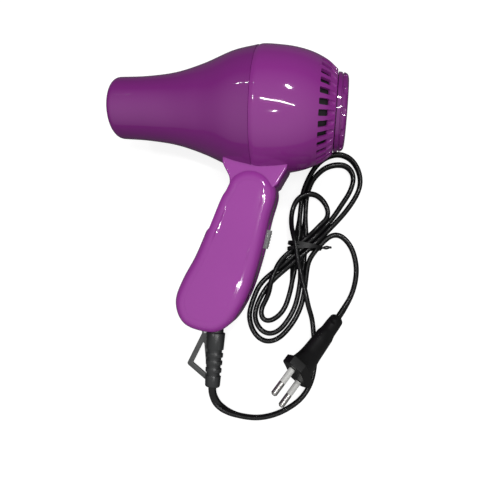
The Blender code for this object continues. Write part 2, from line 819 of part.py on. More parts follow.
ears = [(x, y, 0) for x, y in arc(HINGE, EAR_RADIUS, 5, 170, 5)]
handle_keys = ears + [on_handle(*p) for p in HANDLE_FRONT_SHAPE + HANDLE_END_SHAPE + HANDLE_REAR_SHAPE]
handle_outline = [(p[0], p[1]) for p in through(handle_keys, 3, closed=True)]


def grown(outline, by):
    """An anticlockwise outline moved outwards by a distance."""
    out = []
    for i, (x, y) in enumerate(outline):
        x0, y0 = outline[i - 1]
        x1, y1 = outline[(i + 1) % len(outline)]
        long = hypot(x1 - x0, y1 - y0)
        out.append((x + by * (y1 - y0) / long, y - by * (x1 - x0) / long))
    return out


def domed(name, outline, low, high, rounding, segments):
    """A flat outline whose far edge, at high, is rounded; low may be above high."""
    rings = []
    turn = 1 if high > low else -1
    for i in range(segments + 1):
        angle = pi / 2 * i / segments
        inset = rounding * (1 - cos(angle))
        rings.append((grown(outline, -inset), high - turn * rounding * (1 - sin(angle))))

    def build(bm):
        loops = []
        for ring, z in [(outline, low)] + rings:
            loops.append([bm.verts.new((x, y, z)) for x, y in ring])
        count = len(outline)
        for a, b in zip(loops, loops[1:]):
            for i in range(count):
                bm.faces.new((a[i], a[(i + 1) % count], b[(i + 1) % count], b[i]))
        bm.faces.new(loops[0])
        bm.faces.new(loops[-1])
        bmesh.ops.recalc_face_normals(bm, faces=bm.faces)

    return mesh_object(name, build)


PARTING = GAP / 2
near = domed("handle_shell_near", handle_outline, PARTING, HANDLE_HALF, HANDLE_ROUNDING, 4)
far = domed("handle_shell_far", handle_outline, -PARTING, -HANDLE_HALF, HANDLE_ROUNDING, 4)
settle(near, DRYER, HANDLE_PURPLE)
settle(far, DRYER, HANDLE_PURPLE)
inner_outline = grown(handle_outline, -WALL)
inner_rounding = HANDLE_ROUNDING - WALL
inner_half = HANDLE_HALF - WALL
cut(near, cutter(domed("near_hollow", inner_outline, -0.001, inner_half, inner_rounding, 3), DRYER))
cut(far, cutter(domed("far_hollow", inner_outline, 0.001, -inner_half, inner_rounding, 3), DRYER))

# The neck turns in this slot: a stop at the rear, and open to the front as far as the fold reaches.
STOP_ANGLE = 22.0
slot_end = 145.0 + FOLD_LIMIT + 6.0
slot_outline = arc(HINGE, 2.6 * EAR_RADIUS, STOP_ANGLE, slot_end, 12)
slot_outline += arc(HINGE, KNUCKLE_RADIUS + HINGE_PLAY, slot_end, STOP_ANGLE + 360, 12)
neck_slot = cutter(plate("neck_slot", [slot_outline], -SLOT_HALF, SLOT_HALF), DRYER)
cut(near, neck_slot)
cut(far, neck_slot)

# ---- Slide switch in the handle's rear edge -----------------------------------------------------

SLIDER_ALONG = 0.360  # share of the handle's length
slider_up = (Vector(on_handle(0.155, -0.752)) - Vector(on_handle(0.60, -0.915))).normalized()
slider_out = Vector((slider_up.y, -slider_up.x, 0))


def edge_distance(place, along):
    """How far the handle's outside is from a place, looking along a direction."""
    best = 0.0
    count = len(handle_outline)
    for i in range(count):
        a = Vector((*handle_outline[i], 0)) - place
        b = Vector((*handle_outline[(i + 1) % count], 0)) - place
        across = Vector((-along.y, along.x, 0))
        sa, sb = a.dot(across), b.dot(across)
        if sa * sb <= 0 and sa != sb:
            best = max(best, a.dot(along) + (b - a).dot(along) * sa / (sa - sb))
    return best


axis_place = HINGE + HANDLE_DOWN * HANDLE_LENGTH * SLIDER_ALONG
surface = axis_place + slider_out * edge_distance(axis_place, slider_out)
SLIDER_TURN = atan2(slider_out.y, slider_out.x)
window_length = SLIDER_LENGTH + 2 * SLIDER_TRAVEL + 2 * GAP


def by_slider(out, up, side=0.0):
    """A place given from the slider's seat on the handle's rear edge."""
    return surface + slider_out * out + slider_up * up + Vector((0, 0, side))


SLIDER = pivot("slider_rail", by_slider(0, 0), DRYER)
window_size = (3 * WALL, window_length, SLIDER_WIDTH + 2 * GAP)
window = cutter(block("slider_window", by_slider(0, 0), window_size, SLIDER_TURN), DRYER)
cut(near, window)
cut(far, window)

flange_depth = WALL + 0.0006
switch_slider = block(
    "switch_slider", by_slider(-flange_depth / 2 + SLIDER_PROUD / 2, 0),
    (flange_depth + SLIDER_PROUD, SLIDER_LENGTH, SLIDER_WIDTH), SLIDER_TURN,
)
settle(switch_slider, SLIDER, GREY)


def slider_blocks(name, parts):
    """Boxes on the slider: each is how far out, how far up and its size."""

    def build(bm):
        for out, up, size in parts:
            place = Matrix.Translation(by_slider(out, up)) @ Matrix.Rotation(SLIDER_TURN, 4, "Z")
            bmesh.ops.create_cube(bm, size=1.0, matrix=place @ Matrix.Diagonal((*size, 1)))

    return cutter(mesh_object(name, build), SLIDER)


flange_size = (0.0012, SLIDER_LENGTH + 0.0030, SLIDER_WIDTH + 0.0030)
rib_size = (0.0008, 0.0008, SLIDER_WIDTH - 0.0012)
leg_size = (0.0040, 0.0030, 0.0030)
ribs = [(SLIDER_PROUD, k * 0.0020, rib_size) for k in range(-2, 3)]
join(switch_slider, slider_blocks("slider_flange", [(-flange_depth - 0.0004, 0, flange_size)]))
join(switch_slider, slider_blocks("slider_leg", [(-flange_depth - 0.0020, 0, leg_size)]))
join(switch_slider, slider_blocks("slider_ribs", ribs))

SWITCH_SIZE = (0.0080, 0.0210, 0.0120)
LUG_SIZE = (0.0030, 0.0022, 0.0006)
LUG_STEP = 0.0065
body_out = -flange_depth - 0.0013 - GAP
switch_place = by_slider(body_out - SWITCH_SIZE[0] / 2, 0)
switch_body = settle(block("switch_body", switch_place, SWITCH_SIZE, SLIDER_TURN), DRYER, BLACK)
leg_way_size = (0.0074, leg_size[1] + 2 * SLIDER_TRAVEL + 4 * GAP, 0.0040)
cut(switch_body, cutter(block("leg_way", by_slider(body_out, 0), leg_way_size, SLIDER_TURN), DRYER))
lug_out = body_out - SWITCH_SIZE[0] - GAP - LUG_SIZE[0] / 2
for letter, up in zip("abc", (-LUG_STEP, 0.0, LUG_STEP)):
    settle(block("switch_lug_" + letter, by_slider(lug_out, up), LUG_SIZE, SLIDER_TURN), DRYER, COPPER)

# ---- Hinge hardware and screws ------------------------------------------------------------------

pin_half = inner_half - GAP
settle(rod("pivot_pin", HINGE, PIVOT_RADIUS, 2 * pin_half), DRYER, STEEL)

spring_y = HINGE.y - KNUCKLE_RADIUS - HINGE_PLAY - 0.0008
SPRING_THICKNESS = 0.0005
spring_keys = [(-0.0075, spring_y - 0.0020, 0), (-0.0045, spring_y, 0), (-0.0015, spring_y - 0.0010, 0)]
spring_line = [(p.x, p.y) for p in through(spring_keys, 3)]
detent_outline = spring_line + [(x, y - SPRING_THICKNESS) for x, y in reversed(spring_line)]
settle(plate("detent_spring", [detent_outline], -0.0050, 0.0050), DRYER, STEEL)

BOSS_RADIUS = 0.0033
BOSS_ROOT = 0.0004  # how far a boss runs into the shell's wall
HEAD_SINK = 0.0060
SCREW_PLACES = {"handle_screw_upper": on_handle(0.36, 0.30), "handle_screw_lower": on_handle(1.08, 0.52)}
for name, (x, y, _) in SCREW_PLACES.items():
    for shell, side in ((near, 1), (far, -1)):
        boss_name = name + ("_near_boss" if side > 0 else "_far_boss")
        boss_top = inner_half + BOSS_ROOT
        boss_place = (x, y, side * (boss_top + PARTING) / 2)
        boss = rod(boss_name, boss_place, BOSS_RADIUS, boss_top - PARTING, segments=20)
        join(shell, cutter(boss, DRYER))
    seat = -HANDLE_HALF + HEAD_SINK
    cut(near, cutter(rod(name + "_pilot", (x, y, 0.0035), SCREW_RADIUS + GAP, 0.0090, segments=16), DRYER))
    cut(far, cutter(rod(name + "_bore", (x, y, -0.0080), SCREW_RADIUS + GAP, 0.0200, segments=16), DRYER))
    recess = rod(name + "_recess", (x, y, seat - 0.0100), SCREW_HEAD + GAP, 0.0200, segments=20)
    cut(far, cutter(recess, DRYER))
    screw = turned(
        name,
        [(0.0075 - seat, 0), (0.0075 - seat, SCREW_RADIUS), (-GAP, SCREW_RADIUS), (-GAP, SCREW_HEAD)]
        + [(-0.0014, SCREW_HEAD), (-0.0022, SCREW_HEAD - 0.0010), (-0.0022, 0)],
        False,
        16,
    )
    screw.rotation_euler = (0, 0, 0)
    screw.location = (x, y, seat)
    settle(screw, DRYER, STEEL)

# ---- Strain relief, cord clamp and leads --------------------------------------------------------

relief_x = on_handle(*HANDLE_END_SHAPE[-1])[0]


def bottom_at(x):
    """The handle's lowest outside point at x."""
    return HINGE.y + HANDLE_DOWN.y * HANDLE_LENGTH - edge_distance(
        Vector((x, HINGE.y + HANDLE_DOWN.y * HANDLE_LENGTH, 0)), Vector((0, -1, 0))
    )


relief_top = bottom_at(relief_x)
relief_end = relief_top - RELIEF_LENGTH


relief_flange = (0.0058, 0.0050)
relief_neck = (0.0050, 0.0036)
flange_seat = WALL + 0.0012  # how far inside the handle's end the flange sits
flange_top = flange_seat + 0.0018
sleeve_top = 0.0020  # how far below the handle's end the sleeve's shoulder is
relief_sections = [
    (-flange_top, *relief_flange),
    (-flange_seat, *relief_flange),
    (-flange_seat, *relief_neck),
    (sleeve_top, *relief_neck),
    (sleeve_top, *RELIEF_TOP),
]
GROOVES = 4
for i in range(GROOVES):
    along = 0.0140 + 0.0050 * i
    share = along / RELIEF_LENGTH
    wide, deep = (RELIEF_TOP[k] + (RELIEF_END[k] - RELIEF_TOP[k]) * share for k in (0, 1))
    relief_sections += [(along - 0.0012, wide, deep), (along - 0.0009, wide - 0.0008, deep)]
    relief_sections += [(along + 0.0009, wide - 0.0008, deep), (along + 0.0012, wide, deep)]
relief_sections += [(RELIEF_LENGTH - 0.0010, *RELIEF_END)]
relief_sections += [(RELIEF_LENGTH, RELIEF_END[0] - 0.0010, RELIEF_END[1] - 0.0008)]
strain_relief = lofted("strain_relief", relief_sections, 16)
strain_relief.rotation_euler = (0, 0, -pi / 2)
strain_relief.location = (relief_x, relief_top, 0)
settle(strain_relief, DRYER, BLACK)
RELIEF_WAYS = {
    "relief_way": (relief_neck, -0.0040, 0.0080),
    "relief_flange_way": (relief_flange, flange_seat - GAP, flange_top + GAP),
    "relief_shoulder_way": (RELIEF_TOP, -0.0080, GAP - sleeve_top),
}
for name, ((wide, deep), low_y, high_y) in RELIEF_WAYS.items():
    centre = (relief_x, relief_top + (low_y + high_y) / 2, 0)
    way = cutter(block(name, centre, (2 * (wide + GAP), high_y - low_y, 2 * (deep + GAP))), DRYER)
    cut(near, way)
    cut(far, way)

tail_start = relief_top + flange_top + GAP
tail_end = tail_start + 0.0110
cord_tail = tube("cord_tail", [(relief_x, tail_start + 0.0110 * i / 4, 0) for i in range(5)], CORD_RADIUS)
settle(cord_tail, DRYER, BLACK)
clamp_y = tail_start + 0.0060
CLAMP_SIZE = (0.0150, 0.0050, 0.0024)
clamp_place = (relief_x, clamp_y, CORD_RADIUS + GAP + CLAMP_SIZE[2] / 2)
settle(rounded(block("cord_clamp", clamp_place, CLAMP_SIZE), 0.0005, 1), DRYER, CREAM)

LEAD_RADIUS = 0.0008
lug_place = by_slider(lug_out - LUG_SIZE[0] / 2 - GAP - 2 * LEAD_RADIUS, -LUG_STEP)
lead_ends = {
    "lead_live": [
        (relief_x + 0.0012, tail_end + GAP + 0.0006, -0.0002),
        (relief_x + 0.0022, tail_end + 0.0060, -0.0010),
        (lug_place.x - 0.0030, lug_place.y - 0.0120, -0.0010),
        (lug_place.x, lug_place.y, 0.0),
    ],
    "lead_neutral": [
        (relief_x - 0.0012, tail_end + GAP + 0.0006, 0.0002),
        (relief_x - 0.0030, tail_end + 0.0080, -0.0030),
        (on_handle(0.60, 0.10)[0], on_handle(0.60, 0.10)[1], -0.0060),
        (on_handle(0.40, -0.10)[0], on_handle(0.40, -0.10)[1], -0.0080),
        (on_handle(0.235, -0.05)[0], on_handle(0.235, -0.05)[1], -0.0080),
    ],
}
for name, keys in lead_ends.items():
    settle(tube(name, [tuple(p) for p in through(keys, 4)], LEAD_RADIUS), DRYER, COPPER)

# ---- Hanging loop on its pin --------------------------------------------------------------------

loop_x = relief_x - 0.0082
LOOP_PLANE = -(RELIEF_TOP[1] + 0.0007 + LOOP_HALF)
loop_y = bottom_at(loop_x) - 0.0030
LOOP = pivot("loop_axis", (loop_x, loop_y, LOOP_PLANE), DRYER)
LOOP_CORNERS = [(0, 0), (-0.0095, -0.0225), (0.0050, -0.0325)]  # from the pin, middle of the band
EYE_RADIUS = 0.0027


def band(corners, half):
    """The outline at a distance outside (or inside) a closed run of corners, rounded there."""
    out = []
    count = len(corners)
    for i in range(count):
        before, here, after = (Vector(corners[(i + k) % count]) for k in (-1, 0, 1))
        d0, d1 = (here - before).normalized(), (after - here).normalized()
        n0, n1 = Vector((d0.y, -d0.x)), Vector((d1.y, -d1.x))
        if half > 0:
            start = atan2(n0.y, n0.x)
            turn = (atan2(n1.y, n1.x) - start) % (2 * pi)
            steps = 5
            for k in range(steps + 1):
                angle = start + turn * k / steps
                out.append((here.x + half * cos(angle), here.y + half * sin(angle)))
        else:
            middle = (n0 + n1).normalized()
            out.append(tuple(here + middle * half / middle.dot(n0)))
    return out


loop_outline = band(LOOP_CORNERS, LOOP_BAND / 2)
loop_hole = band(LOOP_CORNERS, -LOOP_BAND / 2)
hanging_loop = plate("hanging_loop", [loop_outline, loop_hole], -LOOP_HALF, LOOP_HALF)
eye = rod("loop_eye", (0, 0, 0), EYE_RADIUS, 2 * LOOP_HALF, segments=20)
eye_hole = rod("loop_eye_hole", (0, 0, 0), LOOP_PIN + GAP, 0.0100, segments=16)
for piece in (hanging_loop, eye, eye_hole):
    piece.location = (loop_x, loop_y, LOOP_PLANE)
settle(hanging_loop, LOOP, GREY)
join(hanging_loop, cutter(eye, LOOP))
cut(hanging_loop, cutter(eye_hole, LOOP))

lug_gap = LOOP_HALF + GAP
for side, name in ((1, "loop_lug_near"), (-1, "loop_lug_far")):
    middle = LOOP_PLANE + side * (lug_gap + 0.0006)
    outline = arc((loop_x, loop_y), EYE_RADIUS, 180, 360, 8)
    outline += [(loop_x + EYE_RADIUS, loop_y + 0.0055), (loop_x - EYE_RADIUS, loop_y + 0.0055)]
    join(far, cutter(plate(name, [outline], middle - 0.0006, middle + 0.0006), DRYER))
pin_length = 2 * lug_gap + 0.0024 + 0.0010
loop_pin = rod("loop_pin", (loop_x, loop_y, LOOP_PLANE), LOOP_PIN, pin_length, segments=16)
settle(loop_pin, DRYER, STEEL)
pin_way = rod("loop_pin_way", (loop_x, loop_y, LOOP_PLANE), LOOP_PIN + GAP, 0.0200, segments=16)
cut(far, cutter(pin_way, DRYER))

# ---- Roll the dryer on to its belly and handle, and centre it on the table ----------------------

# The belly rests on the table, and so does the handle where its flat side ends, rest_reach down.
rest_reach = -(HINGE.y + HANDLE_DOWN.y * HANDLE_LENGTH * 1.27)
ROLL = asin(BODY_RADIUS / hypot(rest_reach, HANDLE_HALF)) - atan2(HANDLE_HALF, rest_reach)
DRYER.rotation_euler = (ROLL, 0, 0)


def span(pieces):
    """The lowest and highest corners of the pieces as they are shown."""
    bpy.context.view_layer.update()
    graph = bpy.context.evaluated_depsgraph_get()
    points = []
    for piece in pieces:
        shape = piece.evaluated_get(graph)
        points += [piece.matrix_world @ v.co for v in shape.data.vertices]
    return [Vector([pick(p[k] for p in points) for k in range(3)]) for pick in (min, max)]


low, high = span([piece for piece in PARTS.objects if piece.type == "MESH"])
DRYER.location = (-(low.x + high.x) / 2, -(low.y + high.y) / 2, -low.z)
bpy.context.view_layer.update()
CORD_EXIT = DRYER.matrix_world @ Vector((relief_x, relief_end, 0))
CORD_OUT = (DRYER.matrix_world.to_3x3() @ Vector((0, -1, 0))).normalized()

# ---- Cord: from the strain relief, under the plug, into the tied hank, and on to the plug -------

# Every place on the table is given from the cord's exit.
FIRST_RUN = [
    (0.0006, -0.0060, 0.0056),
    (0.0030, -0.0108, 0.0038),
    (0.0088, -0.0146, CORD_HEIGHT),
    (0.0170, -0.0168, CORD_HEIGHT),
    (0.0299, -0.0170, CORD_HEIGHT),
    (0.0412, -0.0138, CORD_HEIGHT),
    (0.0508, -0.0082, CORD_HEIGHT),
    (0.0585, -0.0010, CORD_HEIGHT),
    (0.0635, 0.0085, CORD_HEIGHT),
    (0.0652, 0.0190, CORD_HEIGHT),
    (0.0648, 0.0301, CORD_HEIGHT),
    (0.0632, 0.0404, CORD_HEIGHT),
    (0.0618, 0.0504, CORD_HEIGHT),
]
LAST_RUN = [
    (0.0735, 0.1080, CORD_HEIGHT),
    (0.0790, 0.1062, CORD_HEIGHT),
    (0.0845, 0.0997, CORD_HEIGHT),
    (0.0874, 0.0918, CORD_HEIGHT),
    (0.0886, 0.0840, CORD_HEIGHT),
    (0.0879, 0.0749, CORD_HEIGHT),
    (0.0856, 0.0664, CORD_HEIGHT + 0.0008),
    (0.0825, 0.0600, CORD_HEIGHT + 0.0021),
]
HANK_LOWER = [(0.0435, 0.0940), (0.0355, 0.0865), (0.0280, 0.0790), (0.0239, 0.0715), (0.0217, 0.0635)]
HANK_LOWER += [(0.0187, 0.0550), (0.0177, 0.0495), (0.0187, 0.0435), (0.0220, 0.0369), (0.0268, 0.0323)]
HANK_LOWER += [(0.0332, 0.0306), (0.0402, 0.0329), (0.0462, 0.0390), (0.0512, 0.0460), (0.0545, 0.0509)]
HANK_RIGHT = [(0.0645, 0.0509), (0.0605, 0.0624), (0.0590, 0.0860), (0.0625, 0.0950)]
HANK_UPPER = [(0.0720, 0.1125), (0.0776, 0.1196), (0.0836, 0.1280), (0.0876, 0.1356), (0.0894, 0.1434)]
HANK_UPPER += [(0.0890, 0.1512), (0.0854, 0.1596), (0.0792, 0.1654), (0.0716, 0.1677), (0.0642, 0.1657)]
HANK_UPPER += [(0.0578, 0.1610), (0.0531, 0.1538), (0.0492, 0.1446), (0.0455, 0.1350), (0.0415, 0.1265)]
HANK_UPPER += [(0.0406, 0.1180), (0.0415, 0.1100), (0.0435, 0.1010)]
HANK_WAIST = (0.0435, 0.0625, 0.0975)  # its left, its right and its place along Y
HANK_LOW = 0.0013
PLUG_END = Vector((0.0780, 0.0520, 0.0064))
PLUG_AXIS = Vector((-0.510, -0.800, 0.315)).normalized()
PLUG_ROLL = 65.0  # degrees, of the pins' plane from level

TABLE.location = (CORD_EXIT.x, CORD_EXIT.y, 0)


def on_table(name, keys, per_span):
    points = [tuple(p) for p in through(keys, per_span)]
    settle(tube(name, points, CORD_RADIUS), TABLE, BLACK)


lift = Vector((0, 0, CORD_EXIT.z))
first_keys = [lift + CORD_OUT * GAP, lift + CORD_OUT * 0.0030] + [Vector(p) for p in FIRST_RUN]
on_table("cord_first_run", first_keys, 3)

lower = [(p.x, p.y) for p in through([(*p, 0) for p in HANK_LOWER], 2)]
right = [(p.x, p.y) for p in through([(*p, 0) for p in HANK_RIGHT[1:]], 2)]
upper = [(p.x, p.y) for p in through([(*p, 0) for p in HANK_UPPER], 2)]
port = [(0.0625, 0.1000), (0.0690, 0.1035), (0.0720, 0.1040)]
hank_outline = lower + [HANK_RIGHT[0]] + right + port + upper
cord_hank = plate("cord_hank", [hank_outline], HANK_LOW, HANK_LOW + HANK_HEIGHT)
settle(cord_hank, TABLE, BLACK)

TIE_HALF = 0.0012  # half its width along the hank
TIE_THICK = 0.0007


def frame_of(low_x, high_x, low_z, high_z):
    return [(low_x, low_z), (high_x, low_z), (high_x, high_z), (low_x, high_z)]


tie_in = frame_of(HANK_WAIST[0] - GAP, HANK_WAIST[1] + GAP, HANK_LOW - GAP, HANK_LOW + HANK_HEIGHT + GAP)
tie_out = frame_of(
    tie_in[0][0] - TIE_THICK, tie_in[1][0] + TIE_THICK, tie_in[0][1] - TIE_THICK, tie_in[2][1] + TIE_THICK
)
twist_tie = plate("twist_tie", [tie_out, tie_in], -TIE_HALF, TIE_HALF)
tail = block("tie_tail", (HANK_WAIST[1] + 0.0030, HANK_LOW + 0.0055, 0), (0.0058, 0.0016, 0.0016))
for piece in (twist_tie, tail):
    piece.rotation_euler = (pi / 2, 0, 0)
    piece.location = (0, HANK_WAIST[2], 0)
settle(twist_tie, TABLE, BLACK)
join(twist_tie, cutter(tail, TABLE))

# ---- Plug ---------------------------------------------------------------------------------------

side = Vector((PLUG_AXIS.y, -PLUG_AXIS.x, 0)).normalized()
up = side.cross(PLUG_AXIS).normalized()
up = up if up.z > 0 else -up
wide_axis = side * cos(radians(PLUG_ROLL)) + up * sin(radians(PLUG_ROLL))
deep_axis = PLUG_AXIS.cross(wide_axis)
PLUG = pivot("plug", (0, 0, 0))
PLUG.parent = TABLE
PLUG.location = PLUG_END
PLUG.rotation_euler = Matrix((PLUG_AXIS, wide_axis, deep_axis)).transposed().to_euler()

last_keys = [Vector(p) for p in LAST_RUN] + [PLUG_END - PLUG_AXIS * 0.0020, PLUG_END - PLUG_AXIS * GAP]
on_table("cord_last_run", last_keys, 3)

face_wide, face_deep = PLUG_FACE[0] / 2, PLUG_FACE[1] / 2
plug_sections = [
    (0, 0.0042, 0.0036),
    (0.0015, 0.0052, 0.0045),
    (0.0110, 0.0058, 0.0048),
    (0.0150, 0.0072, 0.0055),
    (0.0300, 0.0086, 0.0060),
    (PLUG_LENGTH - 0.0090, 0.0122, face_deep),
    (PLUG_LENGTH - 0.0050, face_wide, face_deep),
    (PLUG_LENGTH, face_wide, face_deep),
]
settle(lofted("plug_body", plug_sections, 20, 0.75), PLUG, BLACK)
core = PIN_RADIUS - SLEEVE_WALL - GAP / 2
base = PLUG_LENGTH + GAP
for name, y in (("upper", PIN_SPACING / 2), ("lower", -PIN_SPACING / 2)):
    pin = turned(
        "plug_pin_" + name,
        [
            (base + PIN_LENGTH, 0),
            (base + PIN_LENGTH, PIN_RADIUS * 0.5),
            (base + PIN_LENGTH - 0.0010, PIN_RADIUS),
            (base + SLEEVE_LENGTH + GAP, PIN_RADIUS),
            (base + SLEEVE_LENGTH + GAP, core),
            (base, core),
            (base, 0),
        ],
        False,
        20,
    )
    inner = core + GAP / 2
    sleeve = turned(
        "pin_sleeve_" + name,
        [
            (base + SLEEVE_LENGTH, inner),
            (base + SLEEVE_LENGTH, PIN_RADIUS),
            (base, PIN_RADIUS),
            (base, inner),
        ],
        True,
        20,
    )
    for piece, finish in ((pin, NICKEL), (sleeve, WHITE)):
        piece.location = (0, y, 0)
        settle(piece, PLUG, finish)
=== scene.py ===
# A small travel hair dryer on a white table, its handle folded out and its flat cord tied in a hank.
import json
from math import atan2, cos, hypot, pi, radians, sin, sqrt

import bmesh
import bpy
from mathutils import Matrix, Vector


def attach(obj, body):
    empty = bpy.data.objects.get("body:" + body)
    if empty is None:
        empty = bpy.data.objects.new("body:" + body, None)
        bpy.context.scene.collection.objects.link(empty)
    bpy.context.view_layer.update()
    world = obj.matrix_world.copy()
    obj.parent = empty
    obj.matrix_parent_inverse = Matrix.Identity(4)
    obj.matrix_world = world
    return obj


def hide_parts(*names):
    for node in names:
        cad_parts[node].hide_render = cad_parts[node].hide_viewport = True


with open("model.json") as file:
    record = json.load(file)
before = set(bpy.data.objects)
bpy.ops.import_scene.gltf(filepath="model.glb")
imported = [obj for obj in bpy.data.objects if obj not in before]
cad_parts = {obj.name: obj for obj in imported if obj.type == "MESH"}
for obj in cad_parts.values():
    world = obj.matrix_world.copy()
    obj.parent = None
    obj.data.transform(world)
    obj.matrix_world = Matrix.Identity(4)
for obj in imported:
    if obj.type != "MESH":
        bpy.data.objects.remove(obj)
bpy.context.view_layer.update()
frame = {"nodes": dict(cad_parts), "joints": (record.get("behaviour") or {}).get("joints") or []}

# ---- How the dryer lies, and the camera ---------------------------------------------------------
# The dryer rests on its belly and on the edge of its handle. Its own axes are X back along the
# barrel, Y up from the handle to the head, and Z out of the side that faces up.

joints = {joint["name"]: joint for joint in frame["joints"]}
fold_axis = Vector(joints["head_fold"]["axis"])
roll = atan2(-fold_axis.y, fold_axis.z)
DRYER = Matrix.Translation(joints["fan_spin"]["pos_m"]) @ Matrix.Rotation(roll, 4, "X")

CAMERA_PLACE = (0.045892, -0.086663, 0.286032)  # in the dryer's own axes
CAMERA_ROLL, CAMERA_TURN, CAMERA_TILT = 3.93, 8.97, -0.02  # degrees

bpy.ops.object.select_all(action="DESELECT")
bpy.ops.object.camera_add()
camera = bpy.context.object
camera.name = "camera"
camera.data.sensor_width = 36.0
camera.data.lens = 32.143
camera.data.clip_start = 0.01
camera.matrix_world = (
    DRYER
    @ Matrix.Translation(CAMERA_PLACE)
    @ Matrix.Rotation(radians(CAMERA_ROLL), 4, "Z")
    @ Matrix.Rotation(radians(CAMERA_TURN), 4, "Y")
    @ Matrix.Rotation(radians(CAMERA_TILT), 4, "X")
)
bpy.context.scene.camera = camera
bpy.context.scene.view_settings.view_transform = "Standard"

# ---- Table and studio light ---------------------------------------------------------------------
# A plain white table under a pale sky that is brightest on the handle's side. Two thin tubes draw
# the bright lines on the head and the handle, and small lamps make the spots of light. The table
# looks white to the camera only, so that it doesn't light the dryer from below.

TABLE_TOP = -0.0001  # a hair under the cord
LAMP_HEIGHT = 1.00
bpy.ops.mesh.primitive_plane_add(size=6.0, location=(0, 0, TABLE_TOP))
table = bpy.context.object
table.name = "table"
paper = bpy.data.materials.new("white_table")
paper.use_nodes = True
nodes, links = paper.node_tree.nodes, paper.node_tree.links
white = nodes["Principled BSDF"]
white.inputs["Base Color"].default_value = (0.32, 0.32, 0.32, 1)
white.inputs["Roughness"].default_value = 0.8
white.inputs["Specular IOR Level"].default_value = 0.2
white.inputs["Emission Color"].default_value = (1, 1, 1, 1)
white.inputs["Emission Strength"].default_value = 0.82
dim = nodes.new("ShaderNodeBsdfDiffuse")
dim.inputs["Color"].default_value = (0.12, 0.12, 0.12, 1)
path = nodes.new("ShaderNodeLightPath")
mix = nodes.new("ShaderNodeMixShader")
links.new(path.outputs["Is Camera Ray"], mix.inputs[0])
links.new(dim.outputs[0], mix.inputs[1])
links.new(white.outputs[0], mix.inputs[2])
links.new(mix.outputs[0], nodes["Material Output"].inputs[0])
table.data.materials.append(paper)

world = bpy.data.worlds.new("studio")
bpy.context.scene.world = world
world.use_nodes = True
nodes, links = world.node_tree.nodes, world.node_tree.links
sky = nodes["Background"]
facing = nodes.new("ShaderNodeTexCoord")
toward = nodes.new("ShaderNodeVectorMath")
toward.operation = "DOT_PRODUCT"
toward.inputs[1].default_value = (0, -0.50, 0.87)
ramp = nodes.new("ShaderNodeValToRGB")
ramp.color_ramp.elements[0].position = 0.15
ramp.color_ramp.elements[0].color = (0.05, 0.05, 0.05, 1)
ramp.color_ramp.elements[1].position = 0.90
ramp.color_ramp.elements[1].color = (0.74, 0.74, 0.74, 1)
links.new(facing.outputs["Generated"], toward.inputs[0])
links.new(toward.outputs["Value"], ramp.inputs["Fac"])
links.new(ramp.outputs["Color"], sky.inputs["Color"])
sky.inputs["Strength"].default_value = 1.0


def softbox(name, place, aim, width, height, power):
    """A flat lamp at a place, turned to face a point."""
    bpy.ops.object.light_add(type="AREA", location=place)
    lamp = bpy.context.object
    lamp.name = name
    lamp.data.shape = "RECTANGLE"
    lamp.data.size, lamp.data.size_y = width, height
    lamp.data.energy = power
    lamp.rotation_euler = (Vector(aim) - Vector(place)).to_track_quat("-Z", "Y").to_euler()


softbox("main_tube", (0.20, -0.10, LAMP_HEIGHT), (0.20, -0.10, 0), 0.48, 0.008, 2.6)
bpy.context.object.rotation_euler.z = radians(-19.6)
softbox("left_tube", (-0.38, 0.00, 0.98), (0, 0, 0.02), 0.16, 0.016, 0.9)
softbox("flash", (0.12, -0.39, LAMP_HEIGHT), (0.03, 0.05, 0), 0.013, 0.013, 0.4)
softbox("window", (0.28, 0.36, LAMP_HEIGHT), (0, 0.05, 0), 0.13, 0.06, 1.9)
softbox("far_lamp", (-0.533, 0.52, LAMP_HEIGHT), (0, 0.05, 0), 0.005, 0.02, 0.08)
softbox("second_far_lamp", (-0.578, 0.52, LAMP_HEIGHT), (0, 0.05, 0), 0.005, 0.02, 0.08)

# ---- Flat mains cord ----------------------------------------------------------------------------
# Two round cores under one soft black vinyl skin, with a groove between them. It leaves the
# sleeve flat, turns on its edge on the table and is folded into a tied figure of eight.

CORE_RADIUS = 0.00165
CORE_PLACE = 0.00105  # of each core's middle from the groove


def through(points, per_span, closed=False):
    """Points on a smooth curve through the given ones."""
    points = [Vector(p) for p in points]
    count = len(points)
    out = []
    for i in range(count if closed else count - 1):
        b, c = points[i], points[(i + 1) % count]
        a = points[i - 1] if closed or i else b - (c - b)
        d = points[(i + 2) % count] if closed or i + 2 < count else c + (c - b)
        for k in range(per_span):
            t = k / per_span
            bend = 2 * a - 5 * b + 4 * c - d
            twist = 3 * b - a - 3 * c + d
            out.append(b + ((c - a) * t + bend * t**2 + twist * t**3) / 2)
    return out if closed else out + [points[-1]]


